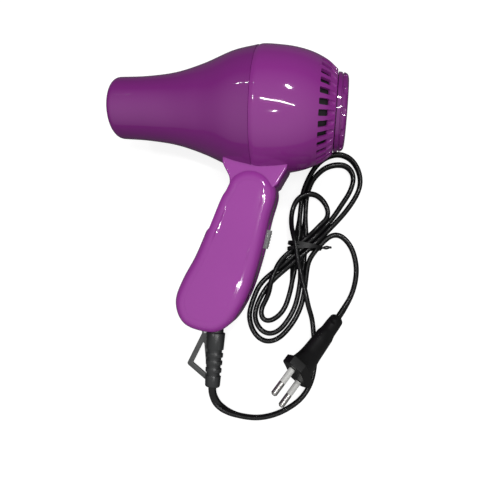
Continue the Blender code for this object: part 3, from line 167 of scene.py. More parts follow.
def surface_group():
    """How a moulded surface varies: slow shifts of tone and gloss, and a fine grain."""
    group = bpy.data.node_groups.new("moulded_surface", "ShaderNodeTree")
    for name, kind, value in (
        ("Place", "NodeSocketVector", None),
        ("Colour", "NodeSocketColor", (0.5, 0.5, 0.5, 1)),
        ("Second Colour", "NodeSocketColor", (0.4, 0.4, 0.4, 1)),
        ("Patches", "NodeSocketFloat", 20.0),
        ("Grain", "NodeSocketFloat", 900.0),
        ("Smoothest", "NodeSocketFloat", 0.2),
        ("Roughest", "NodeSocketFloat", 0.3),
    ):
        socket = group.interface.new_socket(name=name, in_out="INPUT", socket_type=kind)
        if value is not None:
            socket.default_value = value
    for name, kind in (
        ("Colour", "NodeSocketColor"),
        ("Roughness", "NodeSocketFloat"),
        ("Height", "NodeSocketFloat"),
    ):
        group.interface.new_socket(name=name, in_out="OUTPUT", socket_type=kind)
    new, link = group.nodes.new, group.links.new
    given, result = new("NodeGroupInput"), new("NodeGroupOutput")
    patches, grain = new("ShaderNodeTexNoise"), new("ShaderNodeTexNoise")
    patches.inputs["Detail"].default_value = 3.0
    grain.inputs["Detail"].default_value = 2.0
    for texture, scale in ((patches, "Patches"), (grain, "Grain")):
        link(given.outputs["Place"], texture.inputs["Vector"])
        link(given.outputs[scale], texture.inputs["Scale"])
    spread = new("ShaderNodeMapRange")
    spread.inputs["From Min"].default_value = 0.3
    spread.inputs["From Max"].default_value = 0.7
    link(patches.outputs["Fac"], spread.inputs["Value"])
    tone = new("ShaderNodeMix")
    tone.data_type = "RGBA"
    link(spread.outputs["Result"], tone.inputs["Factor"])
    link(given.outputs["Colour"], tone.inputs["A"])
    link(given.outputs["Second Colour"], tone.inputs["B"])
    blend = new("ShaderNodeMath")
    blend.operation = "MULTIPLY_ADD"
    link(grain.outputs["Fac"], blend.inputs[0])
    blend.inputs[1].default_value = 0.5
    link(patches.outputs["Fac"], blend.inputs[2])
    gloss = new("ShaderNodeMapRange")
    gloss.inputs["From Min"].default_value = 0.5
    gloss.inputs["From Max"].default_value = 1.0
    link(blend.outputs["Value"], gloss.inputs["Value"])
    link(given.outputs["Smoothest"], gloss.inputs["To Min"])
    link(given.outputs["Roughest"], gloss.inputs["To Max"])
    link(tone.outputs["Result"], result.inputs["Colour"])
    link(gloss.outputs["Result"], result.inputs["Roughness"])
    link(grain.outputs["Fac"], result.inputs["Height"])
    return group


SURFACE = surface_group()


def finish(name, colour, second, gloss, patches=20.0, grain=900.0, depth=0.00002, **sockets):
    """A material: two close colours, its smoothest and roughest, and its grain's size and depth."""
    made = bpy.data.materials.new(name)
    made.use_nodes = True
    nodes, links = made.node_tree.nodes, made.node_tree.links
    skin = nodes["Principled BSDF"]
    place = nodes.new("ShaderNodeTexCoord")
    surface = nodes.new("ShaderNodeGroup")
    surface.node_tree = SURFACE
    surface.inputs["Colour"].default_value = (*colour, 1)
    surface.inputs["Second Colour"].default_value = (*second, 1)
    surface.inputs["Patches"].default_value = patches
    surface.inputs["Grain"].default_value = grain
    surface.inputs["Smoothest"].default_value, surface.inputs["Roughest"].default_value = gloss
    bump = nodes.new("ShaderNodeBump")
    bump.inputs["Distance"].default_value = depth
    bump.inputs["Strength"].default_value = 0.5
    links.new(place.outputs["Object"], surface.inputs["Place"])
    links.new(surface.outputs["Colour"], skin.inputs["Base Color"])
    links.new(surface.outputs["Roughness"], skin.inputs["Roughness"])
    links.new(surface.outputs["Height"], bump.inputs["Height"])
    links.new(bump.outputs["Normal"], skin.inputs["Normal"])
    for socket, value in sockets.items():
        skin.inputs[socket.replace("_", " ")].default_value = value
    return made


SLEEVE_X, SLEEVE_TOP, SLEEVE_LENGTH = -0.01799, -0.143545, 0.0377  # in the dryer's own axes
cord_exit = DRYER @ Vector((SLEEVE_X, SLEEVE_TOP - SLEEVE_LENGTH, 0))
cord_out = DRYER.to_3x3() @ Vector((0, -1, 0))
PLUG_PLACE = Vector((0.0780, 0.0520, 0.0064))  # of the plug's cord end, from below the sleeve's end
PLUG_AXIS = Vector((-0.510, -0.800, 0.315)).normalized()

# Each point is across, along, how high and how far the cord stands on its edge, in millimetres
# from below the sleeve's end. Without the last two it stands on its edge on the table.
ON_EDGE = 2.75
to_the_tie = [
    (0.6, -6, 5.6, 0), (3, -10.8, 3.9, 0.2), (8.8, -14.6, 2.75, 0.6), (17, -16.8), (29.9, -17),
    (41.2, -13.8), (50.8, -8.2), (58.5, -1), (63.5, 8.5), (65.2, 19), (64.8, 30.1), (63.2, 40.4),
    (61.5, 50.0), (58.6, 57.8, 6.6), (56, 67, 8.3), (53.5, 75.1, 8.3), (51.2, 82.1, 8.6),
    (49.5, 88, 11), (48.1, 95.3, 11.2), (45.8, 102.5, 10.8), (43.3, 111, 7.5), (42.5, 118.5, 5.6),
    (43.2, 124.8, 6), (46, 130.7, 7.6), (50.7, 133.9, 8.2), (56.1, 134.9, 7.4), (61, 133.4, 4.6),
    (65.2, 129.2, 2.9), (67.3, 124.3), (66.8, 118.7),
]
small_loop = [
    (63.4, 115.4), (58.1, 108.6, 3.6), (52.8, 102.9, 6), (46.8, 96.6, 6.2), (41.5, 91.5, 7.2),
    (37, 85.5, 8.2), (34.5, 79, 8.2), (32.5, 72.8, 8.2), (31.6, 66, 5), (29.6, 60, 3.2), (27, 54),
    (27.4, 48.8), (30, 45.8), (34.6, 46.6), (39.6, 50.6), (43.2, 56.8), (45, 64.2), (46.2, 71.5),
    (46.6, 79, 2.75, 0.7), (46.8, 86, 2.0, 0.15), (46.8, 97, 1.8, 0), (47.6, 106, 2.0, 0.15),
    (48, 113, 2.75, 0.7), (48.2, 121.9), (48.7, 134.7), (50.9, 143.9),
]
upper_outer_loop = [
    (54.8, 153.3), (59.3, 160), (65, 164.2), (71.6, 166), (78.6, 164), (84, 158.5), (87.3, 150.8),
    (87.7, 143.1), (85.1, 135.2), (79.9, 126), (73.9, 117.8), (68.6, 111.4), (63.2, 104.3, 4.6),
    (57.9, 98.4, 6), (51.8, 92, 6), (45.2, 85.6, 5), (38.9, 79.8, 3), (33, 73.5), (28.2, 66.5),
    (24.7, 58.8), (22.9, 50.3), (24.3, 44.2), (28.3, 39.3), (32.8, 37.5), (38, 38.8), (42.4, 43),
    (46.6, 49.9), (49.6, 57.4), (51.1, 65.9), (51.7, 73.2), (51.9, 80, 2.75, 0.7),
    (52.2, 87, 2.0, 0.1), (52.3, 97, 1.8, 0), (52.4, 106, 2.0, 0.15), (52.2, 113, 2.75, 0.7),
    (51.9, 121.9), (51.9, 134),
]
upper_inner_loop = [
    (54.6, 145), (58.7, 151.3), (63.8, 155.9), (70.6, 158.2), (77.6, 157.6), (82.4, 152.2),
    (82.9, 145.4), (80.5, 137.5), (76.2, 129.6), (71.2, 120.6), (66, 113.4, 3.2),
    (60.6, 106.4, 5.2), (55.3, 100.6, 6), (49.2, 94.2, 6), (42.8, 88, 5), (36.5, 82.2, 3),
    (30.2, 76.8), (24.4, 69.8), (21.6, 62.3), (19.9, 55.5), (19.1, 50), (20, 44.5), (23, 38.2),
    (27.5, 33.9), (33.1, 32.3), (39.5, 34.6), (45, 40.3), (49.8, 47.9), (52.8, 55.2),
    (54.5, 62.5), (55.2, 69.8), (55.6, 78.3), (56.2, 87),
]
to_the_plug = [
    (58.2, 92.5), (61.6, 97.6), (66.2, 103.6), (70.4, 107.4), (74.6, 108.4), (79.4, 106),
    (84.5, 99.7), (87.4, 91.8), (88.6, 84), (87.9, 74.9), (85.6, 66.4, 3.6, 0.95),
    (82.5, 60, 4.9, 0.8),
]
route = [
    Vector((*(cord_exit - cord_out * 0.001), 0)),
    Vector((*(cord_exit + cord_out * 0.003), 0)),
]
for run in (to_the_tie, small_loop, upper_outer_loop, upper_inner_loop, to_the_plug):
    for point in run:
        high = point[2] if len(point) > 2 else ON_EDGE
        lean = point[3] if len(point) > 3 else 1.0
        place = Vector((cord_exit.x + point[0] / 1000, cord_exit.y + point[1] / 1000, high / 1000))
        route.append(Vector((*place, lean)))
plug_end = Vector((cord_exit.x, cord_exit.y, 0)) + PLUG_PLACE
PLUG_LEAN = 65 / 90
route.append(Vector((*(plug_end - PLUG_AXIS * 0.0020), PLUG_LEAN)))
route.append(Vector((*(plug_end + PLUG_AXIS * 0.0010), PLUG_LEAN)))

# The curve is walked in even steps, and its small kinks are eased out.
STEP, EASINGS = 0.00125, 8
dense = through(route, 16)
walked, done, line = 0.0, 0.0, [dense[0]]
for a, b in zip(dense, dense[1:]):
    length = (b - a).to_3d().length
    while walked + length >= done + STEP:
        done += STEP
        line.append(a.lerp(b, (done - walked) / length))
    walked += length
for _ in range(EASINGS):
    line = [line[0], line[1]] + [
        line[i] * 0.5 + (line[i - 1] + line[i + 1]) * 0.25 for i in range(2, len(line) - 2)
    ] + [line[-2], line[-1]]
centres = [p.to_3d() for p in line]

CORE_STEPS = 8
groove_angle = pi - atan2(sqrt(CORE_RADIUS**2 - CORE_PLACE**2), CORE_PLACE)
section = []
for side in (1, -1):
    for k in range(CORE_STEPS):
        angle = -groove_angle + 2 * groove_angle * k / CORE_STEPS
        wide, thin = CORE_PLACE + CORE_RADIUS * cos(angle), CORE_RADIUS * sin(angle)
        section.append((side * wide, side * thin))
rings = len(centres)
around = len(section)
skin = bmesh.new()
along_cord = skin.loops.layers.uv.new("along_cord")
loops = []
for i, centre in enumerate(centres):
    ahead = (centres[min(i + 1, rings - 1)] - centres[max(i - 1, 0)]).normalized()
    level = ahead.cross(Vector((0, 0, 1))).normalized()
    up = level.cross(ahead)
    lean = pi / 2 * min(max(line[i][3], 0), 1)
    wide = level * cos(lean) + up * sin(lean)
    thin = ahead.cross(wide)
    loops.append([skin.verts.new(centre + wide * w + thin * t) for w, t in section])
for i in range(rings - 1):
    for k in range(around):
        after = (k + 1) % around
        face = skin.faces.new((loops[i][k], loops[i][after], loops[i + 1][after], loops[i + 1][k]))
        corners = ((i, k), (i, k + 1), (i + 1, k + 1), (i + 1, k))
        for loop, (ring, place) in zip(face.loops, corners):
            loop[along_cord].uv = (ring * STEP, place / around)
skin.faces.new(loops[0][::-1])
skin.faces.new(loops[-1])
bmesh.ops.recalc_face_normals(skin, faces=skin.faces)
cord_mesh = bpy.data.meshes.new("mains_cord")
skin.to_mesh(cord_mesh)
skin.free()
mains_cord = bpy.data.objects.new("mains_cord", cord_mesh)
bpy.context.scene.collection.objects.link(mains_cord)
VINYL = finish(
    "black_vinyl", (0.0040, 0.0040, 0.0043), (0.0065, 0.0065, 0.0070), (0.16, 0.28),
    patches=60, grain=2500, depth=0.00001, Specular_IOR_Level=0.30,
)
cord_mesh.materials.append(VINYL)
bpy.ops.object.select_all(action="DESELECT")
mains_cord.select_set(True)
bpy.context.view_layer.objects.active = mains_cord
bpy.ops.object.shade_smooth_by_angle(angle=radians(50))
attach(mains_cord, "handle")
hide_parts("cord_first_run", "cord_hank", "cord_last_run")

# ---- Plug ---------------------------------------------------------------------------------------
# A flat two-pin plug moulded on to the cord in matt black, with a grip that widens to a
# six-sided face. Its nickel pins wear white sleeves next to the face.

side = Vector((PLUG_AXIS.y, -PLUG_AXIS.x, 0)).normalized()
up = side.cross(PLUG_AXIS).normalized()
up = up if up.z > 0 else -up
PLUG_ROLL = radians(65)
wide = side * cos(PLUG_ROLL) + up * sin(PLUG_ROLL)
PLUG = Matrix((PLUG_AXIS, wide, PLUG_AXIS.cross(wide))).transposed().to_4x4()
PLUG.translation = plug_end


def lofted(name, sections, around=48):
    """A closed body along X through oval sections: how far along, half width and half depth."""
    bpy.ops.object.select_all(action="DESELECT")
    along, wide, deep = sections[0]
    bpy.ops.mesh.primitive_circle_add(
        vertices=around, radius=1.0, location=(0, 0, 0), rotation=(0, pi / 2, 0)
    )
    piece = bpy.context.object
    piece.name = name
    bpy.ops.object.transform_apply(location=True, rotation=True, scale=True)
    bpy.ops.object.mode_set(mode="EDIT")
    bpy.ops.mesh.select_all(action="SELECT")
    bpy.ops.transform.resize(value=(1, wide, deep), center_override=(0, 0, 0))
    bpy.ops.transform.translate(value=(along, 0, 0))
    for (x0, w0, d0), (x1, w1, d1) in zip(sections, sections[1:]):
        bpy.ops.mesh.extrude_edges_move(TRANSFORM_OT_translate={"value": (x1 - x0, 0, 0)})
        bpy.ops.transform.resize(value=(1, w1 / w0, d1 / d0), center_override=(x1, 0, 0))
    bpy.ops.mesh.select_all(action="SELECT")
    bpy.ops.mesh.fill_holes(sides=0)
    bpy.ops.mesh.normals_make_consistent(inside=False)
    bpy.ops.object.mode_set(mode="OBJECT")
    return piece


def drawn(name, points, closed=False):
    """A line of edges drawn from point to point, left open in edit mode."""
    bpy.ops.object.select_all(action="DESELECT")
    bpy.ops.mesh.primitive_plane_add(size=0.001, location=(0, 0, 0))
    piece = bpy.context.object
    piece.name = name
    bpy.ops.object.mode_set(mode="EDIT")
    bpy.ops.mesh.merge(type="CENTER")
    bpy.ops.transform.translate(value=points[0])
    for a, b in zip(points, points[1:]):
        bpy.ops.mesh.extrude_vertices_move(TRANSFORM_OT_translate={"value": Vector(b) - Vector(a)})
    if closed:
        bpy.ops.mesh.extrude_vertices_move(
            TRANSFORM_OT_translate={"value": Vector(points[0]) - Vector(points[-1])}
        )
        bpy.ops.mesh.select_all(action="SELECT")
        bpy.ops.mesh.remove_doubles(threshold=0.000001)
    return piece


def round_over(piece, height, rounding, segments):
    """Rounds the edge of a flat end, by insets that climb as they go in."""
    bpy.ops.mesh.select_all(action="DESELECT")
    edit = bmesh.from_edit_mesh(piece.data)
    for face in edit.faces:
        if all(abs(v.co.z - height) < 1e-6 for v in face.verts):
            face.select_set(True)
    bmesh.update_edit_mesh(piece.data)
    for i in range(segments):
        a, b = (pi / 2 * k / segments for k in (i, i + 1))
        bpy.ops.mesh.inset(
            thickness=rounding * (cos(a) - cos(b)), depth=rounding * (sin(b) - sin(a)), use_even_offset=True
        )
    bpy.ops.mesh.inset(thickness=0.0001, depth=0, use_even_offset=False)


def slab(name, outline, low, high, rounding=0.0, segments=4, far_rounding=0.0):
    """A flat outline made solid between two heights, its high edge rounded and its low one too."""
    way = 1 if high > low else -1
    start, end = low + way * far_rounding, high - way * rounding
    piece = drawn(name, [(x, y, start) for x, y in outline], closed=True)
    bpy.ops.mesh.select_all(action="SELECT")
    bpy.ops.mesh.edge_face_add()
    bpy.ops.mesh.extrude_region_move(TRANSFORM_OT_translate={"value": (0, 0, end - start)})
    bpy.ops.mesh.select_all(action="SELECT")
    bpy.ops.mesh.normals_make_consistent(inside=False)
    if rounding:
        round_over(piece, end, rounding, segments)
    if far_rounding:
        round_over(piece, start, far_rounding, 3)
    bpy.ops.object.mode_set(mode="OBJECT")
    return piece


def box(name, centre, size, rounding=0.0, turn=0.0):
    """A block with rounded edges, turned about Z."""
    bpy.ops.object.select_all(action="DESELECT")
    bpy.ops.mesh.primitive_cube_add(size=1.0, location=centre, rotation=(0, 0, turn), scale=size)
    piece = bpy.context.object
    piece.name = name
    bpy.ops.object.transform_apply(location=True, rotation=True, scale=True)
    if rounding:
        bpy.ops.object.mode_set(mode="EDIT")
        bpy.ops.mesh.select_all(action="SELECT")
        bpy.ops.mesh.bevel(offset=rounding, segments=3, affect="EDGES")
        bpy.ops.object.mode_set(mode="OBJECT")
    return piece


def carve(piece, tool, operation="DIFFERENCE", solver="EXACT"):
    """Cuts a tool out of a piece, or joins it on, and takes the tool away."""
    bpy.ops.object.select_all(action="DESELECT")
    piece.select_set(True)
    bpy.context.view_layer.objects.active = piece
    cut = piece.modifiers.new("cut", "BOOLEAN")
    cut.operation, cut.object, cut.solver = operation, tool, solver
    bpy.ops.object.modifier_apply(modifier="cut")
    bpy.data.objects.remove(tool)
    return piece


def settle(piece, place, body, slot, material, *replaced, sharp=35.0):
    """Lays a piece in its place, gives it its finish and fixes it to its body."""
    bpy.context.view_layer.update()
    bpy.ops.object.select_all(action="DESELECT")
    piece.select_set(True)
    bpy.context.view_layer.objects.active = piece
    piece.matrix_world = place @ piece.matrix_world
    bpy.ops.object.transform_apply(location=True, rotation=True, scale=True)
    bpy.ops.object.shade_smooth_by_angle(angle=radians(sharp))
    piece.data.materials.clear()
    piece.data.materials.append(material)
    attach(piece, body)
    if replaced:
        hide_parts(*replaced)
    return piece


plug_grip = lofted("plug_grip", [
    (0, 0.0040, 0.0033), (0.0006, 0.0047, 0.0040), (0.0015, 0.0051, 0.0044),
    (0.0060, 0.0056, 0.0047), (0.0110, 0.0058, 0.0048), (0.0130, 0.0063, 0.0051),
    (0.0150, 0.0072, 0.0055), (0.0210, 0.0077, 0.0057), (0.0300, 0.0086, 0.0060),
    (0.0350, 0.0103, 0.0063), (0.0390, 0.0128, 0.00665), (0.0415, 0.0150, 0.0068),
    (0.0440, 0.0155, 0.0068),
])
hexagon = [
    (-0.01765, 0.0), (-0.0120, -0.00685), (0.0120, -0.00685),
    (0.01765, 0.0), (0.0120, 0.00685), (-0.0120, 0.00685),
]
plug_face = slab("plug_face", hexagon, 0.0415, 0.0470, rounding=0.0008, segments=3)
plug_face.matrix_world = Matrix(((0, 0, 1, 0), (1, 0, 0, 0), (0, 1, 0, 0), (0, 0, 0, 1)))
carve(plug_grip, plug_face, "UNION")
for where in (0.0030, 0.0066):
    for way in (1, -1):
        carve(plug_grip, box("grip_notch", (where, way * 0.0060, 0), (0.0014, 0.0030, 0.0200)))
MATT_BLACK = finish(
    "matt_black", (0.0042, 0.0042, 0.0045), (0.0075, 0.0075, 0.0080), (0.34, 0.48),
    patches=80, grain=3000, depth=0.00004, Specular_IOR_Level=0.35,
)
settle(plug_grip, PLUG, "handle", "black_plastic", MATT_BLACK, "plug_body", sharp=30)
WHITE_SLEEVE = finish(
    "white_sleeve", (0.64, 0.64, 0.62), (0.58, 0.58, 0.56), (0.30, 0.42), patches=200, depth=0.00001
)
NICKEL = finish(
    "nickel_plate", (0.62, 0.61, 0.59), (0.50, 0.49, 0.47), (0.24, 0.40),
    patches=220, grain=4000, depth=0.000008, Metallic=1.0,
)
for node, material in (
    ("pin_sleeve_upper", WHITE_SLEEVE), ("pin_sleeve_lower", WHITE_SLEEVE),
    ("plug_pin_upper", NICKEL), ("plug_pin_lower", NICKEL),
):
    frame["nodes"][node].data.materials.clear()
    frame["nodes"][node].data.materials.append(material)

# ---- Twist tie ----------------------------------------------------------------------------------
# A flat strip of black plastic with a wire in it, wound twice round the waist of the hank. Its
# two ends are twisted together and stick out to the right.

waist = Vector((cord_exit.x + 0.0530, cord_exit.y + 0.0975, 0.0071))
TIE_WIDTH, TIE_THICKNESS = 0.0022, 0.0006
TWIST_RADIUS, TWIST_POINTS = 0.0007, 28
tie = None
for turn, (lean, shift) in enumerate(((0.10, -0.0008), (-0.12, 0.0010))):
    bpy.ops.object.select_all(action="DESELECT")
    bpy.ops.mesh.primitive_circle_add(vertices=40, radius=1.0, rotation=(pi / 2, 0, 0))
    wrap = bpy.context.object
    wrap.name = f"tie_wrap_{turn}"
    bpy.ops.object.transform_apply(location=True, rotation=True, scale=True)
    bpy.ops.object.mode_set(mode="EDIT")
    bpy.ops.mesh.select_all(action="SELECT")
    half_wide, half_high = 0.0108 + 0.0002 * turn, 0.0064 + 0.0001 * turn
    bpy.ops.transform.resize(value=(half_wide, 1, half_high), center_override=(0, 0, 0))
    bpy.ops.mesh.extrude_edges_move(TRANSFORM_OT_translate={"value": (0, TIE_WIDTH, 0)})
    bpy.ops.mesh.select_all(action="SELECT")
    bpy.ops.mesh.normals_make_consistent(inside=False)
    bpy.ops.object.mode_set(mode="OBJECT")
    strip = wrap.modifiers.new("strip", "SOLIDIFY")
    strip.thickness, strip.offset = TIE_THICKNESS, 1.0
    bpy.ops.object.modifier_apply(modifier="strip")
    wrap.matrix_world = Matrix.Translation((0, shift - TIE_WIDTH / 2, 0)) @ Matrix.Rotation(lean, 4, "Z")
    if tie is None:
        tie = wrap
    else:
        carve(tie, wrap, "UNION")
settle(tie, Matrix.Translation(waist), "handle", "black_plastic", MATT_BLACK, "twist_tie", sharp=40)
for k, start in enumerate((0.0, pi)):
    points = []
    for i in range(TWIST_POINTS + 1):
        t = i / TWIST_POINTS
        reach = 0.0098 + 0.0082 * t
        angle = start + 5.5 * t
        along, high = TWIST_RADIUS * cos(angle) + 0.0012 * t, TWIST_RADIUS * sin(angle) - 0.0010 * t
        points.append((reach, along, high))
    end = drawn(f"tie_end_{k}", points)
    bpy.ops.object.mode_set(mode="OBJECT")
    bpy.ops.object.convert(target="CURVE")
    end.data.bevel_depth = 0.00062
    end.data.bevel_resolution = 3
    end.data.use_fill_caps = True
    bpy.ops.object.convert(target="MESH")
    settle(end, Matrix.Translation(waist), "handle", "black_plastic", MATT_BLACK, sharp=60)

# ---- Barrel -------------------------------------------------------------------------------------
# The front of the head, in glossy purple coloured darker as painted shade. It flares from a
# rolled-in mouth to the belly, and a thinner lip at its back edge pushes into the rear shell.

BODY_RADIUS, MOUTH_RADIUS = 0.0400, 0.0201
BARREL_LENGTH, MOUTH_ROUNDING = 0.0968, 0.0051
WALL = 0.0020
GAP = 0.0003
barrel_keys = [(0.947, 0.0), (0.76, 0.035), (0.552, 0.160), (0.355, 0.435), (0.158, 0.810), (0.0, 0.977)]
barrel_outer = [
    (-BARREL_LENGTH * p.x, MOUTH_RADIUS + (BODY_RADIUS - MOUTH_RADIUS) * p.y)
    for p in through([(*key, 0) for key in barrel_keys], 8)
]


def arc(centre, radius, start, end, steps):
    """Points on an arc, with its angles in degrees."""
    angles = [radians(start + (end - start) * i / steps) for i in range(steps + 1)]
    return [(centre[0] + radius * cos(a), centre[1] + radius * sin(a)) for a in angles]


def radius_at(profile, x):
    """A profile's radius at a place along the barrel."""
    for (x0, r0), (x1, r1) in zip(profile, profile[1:]):
        if x0 <= x <= x1:
            return r0 + (r1 - r0) * (x - x0) / (x1 - x0)
    return profile[-1][1]


def inside_of(profile):
    """A profile moved inwards by the wall, square to its own slope."""
    out = []
    for i, (x, r) in enumerate(profile):
        x0, r0 = profile[max(i - 1, 0)]
        x1, r1 = profile[min(i + 1, len(profile) - 1)]
        long = hypot(x1 - x0, r1 - r0)
        out.append((x + WALL * (r1 - r0) / long, r - WALL * (x1 - x0) / long))
    return out


def turned(name, profile, closed=True, steps=144):
    """A profile of (along, radius) spun round the barrel's axis."""
    piece = drawn(name, [(x, r, 0) for x, r in profile], closed)
    bpy.ops.mesh.select_all(action="SELECT")
    bpy.ops.mesh.spin(steps=steps, angle=2 * pi, center=(0, 0, 0), axis=(1, 0, 0))
    bpy.ops.mesh.select_all(action="SELECT")
    bpy.ops.mesh.remove_doubles(threshold=0.000002)
    bpy.ops.mesh.normals_make_consistent(inside=False)
    bpy.ops.object.mode_set(mode="OBJECT")
    return piece


rim = (-BARREL_LENGTH + MOUTH_ROUNDING, MOUTH_RADIUS - MOUTH_ROUNDING)
barrel_inner = [p for p in inside_of(barrel_outer) if p[0] < -0.004]
lip_radius = BODY_RADIUS * 0.977 - WALL - GAP
barrel_profile = (
    [(0.0, radius_at(barrel_outer, 0) - 0.00004), (-0.00004, radius_at(barrel_outer, 0))]
    + [p for p in barrel_outer[::-1] if p[0] < -0.001][:-1]
    + arc(rim, MOUTH_ROUNDING, 90, 180, 10)
    + arc(rim, MOUTH_ROUNDING - WALL, 180, 90, 8)
    + barrel_inner[1:]
    + [(-0.0030, lip_radius - 0.0015), (0.0050, lip_radius - 0.0015), (0.0050, lip_radius)]
    + [(0.0, lip_radius)]
)
barrel = turned("barrel", barrel_profile)
# Darkest of three copies of one purple: painted shade, on the barrel, rear cap and mouth grille.
SHADED_PURPLE = finish(
    "deep_purple_gloss", (0.186, 0.018, 0.184), (0.202, 0.021, 0.200), (0.05, 0.10),
    patches=14, grain=1400, depth=0.000006, Coat_Weight=0.15, Coat_Roughness=0.04,
)
settle(barrel, DRYER, "head", "deep_purple_gloss", SHADED_PURPLE, "barrel_shell", sharp=40)

# ---- Rear shell ---------------------------------------------------------------------------------
# The back of the head in the same gloss. A ring of rounded air slots goes through its shoulder,
# each with a scooped hollow behind it that runs out before the cap.

REAR_LENGTH = 0.0490
SEAM_SHARE, END_SHARE = 0.977, 0.645  # of the belly's radius, at the seam and at the rear end
rear_keys = [(0.0, SEAM_SHARE), (0.075, 1.0), (0.25, 0.990), (0.465, 0.9575)]
rear_keys += [(0.68, 0.887), (0.867, 0.776), (1.0, END_SHARE)]
rear_curve = [
    (REAR_LENGTH * p.x, BODY_RADIUS * p.y) for p in through([(*key, 0) for key in rear_keys], 8)
]
SEAM = 0.00003
rear_outer = [
    (SEAM, radius_at(rear_curve, SEAM) - 0.00004), (SEAM + 0.00004, radius_at(rear_curve, 0.0001))
]
rear_outer += [p for p in rear_curve if p[0] > 0.001]
rear_inner = [p for p in inside_of(rear_curve) if GAP < p[0] < REAR_LENGTH - WALL - 0.0005]
CAP_SEAT = 0.0226
rear_profile = (
    rear_outer
    + [(REAR_LENGTH + 0.0001, BODY_RADIUS * END_SHARE - 0.0006), (REAR_LENGTH, CAP_SEAT)]
    + [(REAR_LENGTH - WALL, CAP_SEAT), (REAR_LENGTH - WALL, rear_inner[-1][1] - 0.0008)]
    + rear_inner[::-1]
    + [(SEAM, BODY_RADIUS * SEAM_SHARE - WALL)]
)
rear = turned("rear_shell", rear_profile)
SLOTS = 32
SLOT_FRONT, SLOT_LENGTH, SLOT_WIDTH = 0.0385, 0.0070, 0.0036
SCOOP_PLACE = 0.0463
shoulder_fall = radius_at(rear_curve, SLOT_FRONT) - radius_at(rear_curve, SLOT_FRONT + SLOT_LENGTH)
shoulder_lean = -atan2(shoulder_fall, SLOT_LENGTH)
slot_middle = SLOT_FRONT + SLOT_LENGTH / 2


def ring_of(piece, count):
    """Copies of a piece, all round the barrel's axis, in one mesh."""
    bpy.ops.object.select_all(action="DESELECT")
    piece.select_set(True)
    bpy.context.view_layer.objects.active = piece
    bpy.ops.object.mode_set(mode="EDIT")
    bpy.ops.mesh.select_all(action="SELECT")
    bpy.ops.mesh.spin(
        steps=count - 1, dupli=True, angle=2 * pi * (count - 1) / count, center=(0, 0, 0), axis=(1, 0, 0)
    )
    bpy.ops.mesh.select_all(action="SELECT")
    bpy.ops.mesh.normals_make_consistent(inside=False)
    bpy.ops.object.mode_set(mode="OBJECT")
    return piece


def leant(piece, centre, lean, turn):
    """Moves a piece made at the origin to a place on the head, leant back and turned round the axis."""
    piece.matrix_world = (
        Matrix.Rotation(turn, 4, "X") @ Matrix.Translation(centre) @ Matrix.Rotation(lean, 4, "Z")
    )
    bpy.ops.object.transform_apply(location=True, rotation=True, scale=True)
    return piece


first = pi / SLOTS
slot = box("air_slot", (0, 0, 0), (SLOT_LENGTH, 0.0080, SLOT_WIDTH), 0.0006)
leant(slot, (slot_middle, radius_at(rear_curve, slot_middle) - WALL / 2, 0), shoulder_lean, first)
carve(rear, ring_of(slot, SLOTS))
bpy.ops.object.select_all(action="DESELECT")
bpy.ops.mesh.primitive_uv_sphere_add(segments=16, ring_count=10, radius=1.0)
scoop = bpy.context.object
bpy.ops.object.mode_set(mode="EDIT")
bpy.ops.mesh.select_all(action="SELECT")
bpy.ops.transform.resize(value=(0.0034, 0.0011, 0.0017), center_override=(0, 0, 0))
bpy.ops.object.mode_set(mode="OBJECT")
leant(scoop, (SCOOP_PLACE, radius_at(rear_curve, SCOOP_PLACE) + 0.0002, 0), shoulder_lean - 0.25, first)
carve(rear, ring_of(scoop, SLOTS))
# Middle of the three copies of one purple, between the painted shade and the painted light.
PURPLE = finish(
    "purple_gloss", (0.245, 0.027, 0.240), (0.265, 0.031, 0.260), (0.05, 0.10),
    patches=14, grain=1400, depth=0.000006, Coat_Weight=0.15, Coat_Roughness=0.04,
)
settle(rear, DRYER, "head", "purple_gloss", PURPLE, "body_shell", sharp=32)

# ---- Painted shade behind the slots -------------------------------------------------------------
# A thin black collar behind the slots, held between the rear shell and the cap. It is painted
# shade: a dark sheet that makes the inside look dark through the slots.

SHADE_SHEET_FRONT, SHADE_SHEET_REAR, SHADE_SHEET_STEPS = 0.0362, 0.0468, 8
shade_sheet_line = []
for i in range(SHADE_SHEET_STEPS + 1):
    x = SHADE_SHEET_FRONT + (SHADE_SHEET_REAR - SHADE_SHEET_FRONT) * i / SHADE_SHEET_STEPS
    shade_sheet_line.append((x, radius_at(rear_curve, x) - WALL - 0.0016))
shade_sheet_profile = shade_sheet_line + [(x - 0.0002, r - 0.0006) for x, r in shade_sheet_line[::-1]]
shade_sheet = turned("painted_shade_sheet", shade_sheet_profile, steps=96)
# Near-black, as painted shade behind the slots.
SHADE_SHEET_BLACK = finish(
    "shade_sheet_black", (0.006, 0.004, 0.006), (0.012, 0.008, 0.012), (0.55, 0.75),
    patches=500, grain=3000, depth=0.0001,
)
settle(shade_sheet, DRYER, "head", "black_plastic", SHADE_SHEET_BLACK, sharp=50)

# ---- Rear cap -----------------------------------------------------------------------------------
# A purple cap, coloured darker as painted shade, that snaps into the rear shell's hole. Its side
# has a groove and twelve grip notches, and its dished face has rings turned into it.

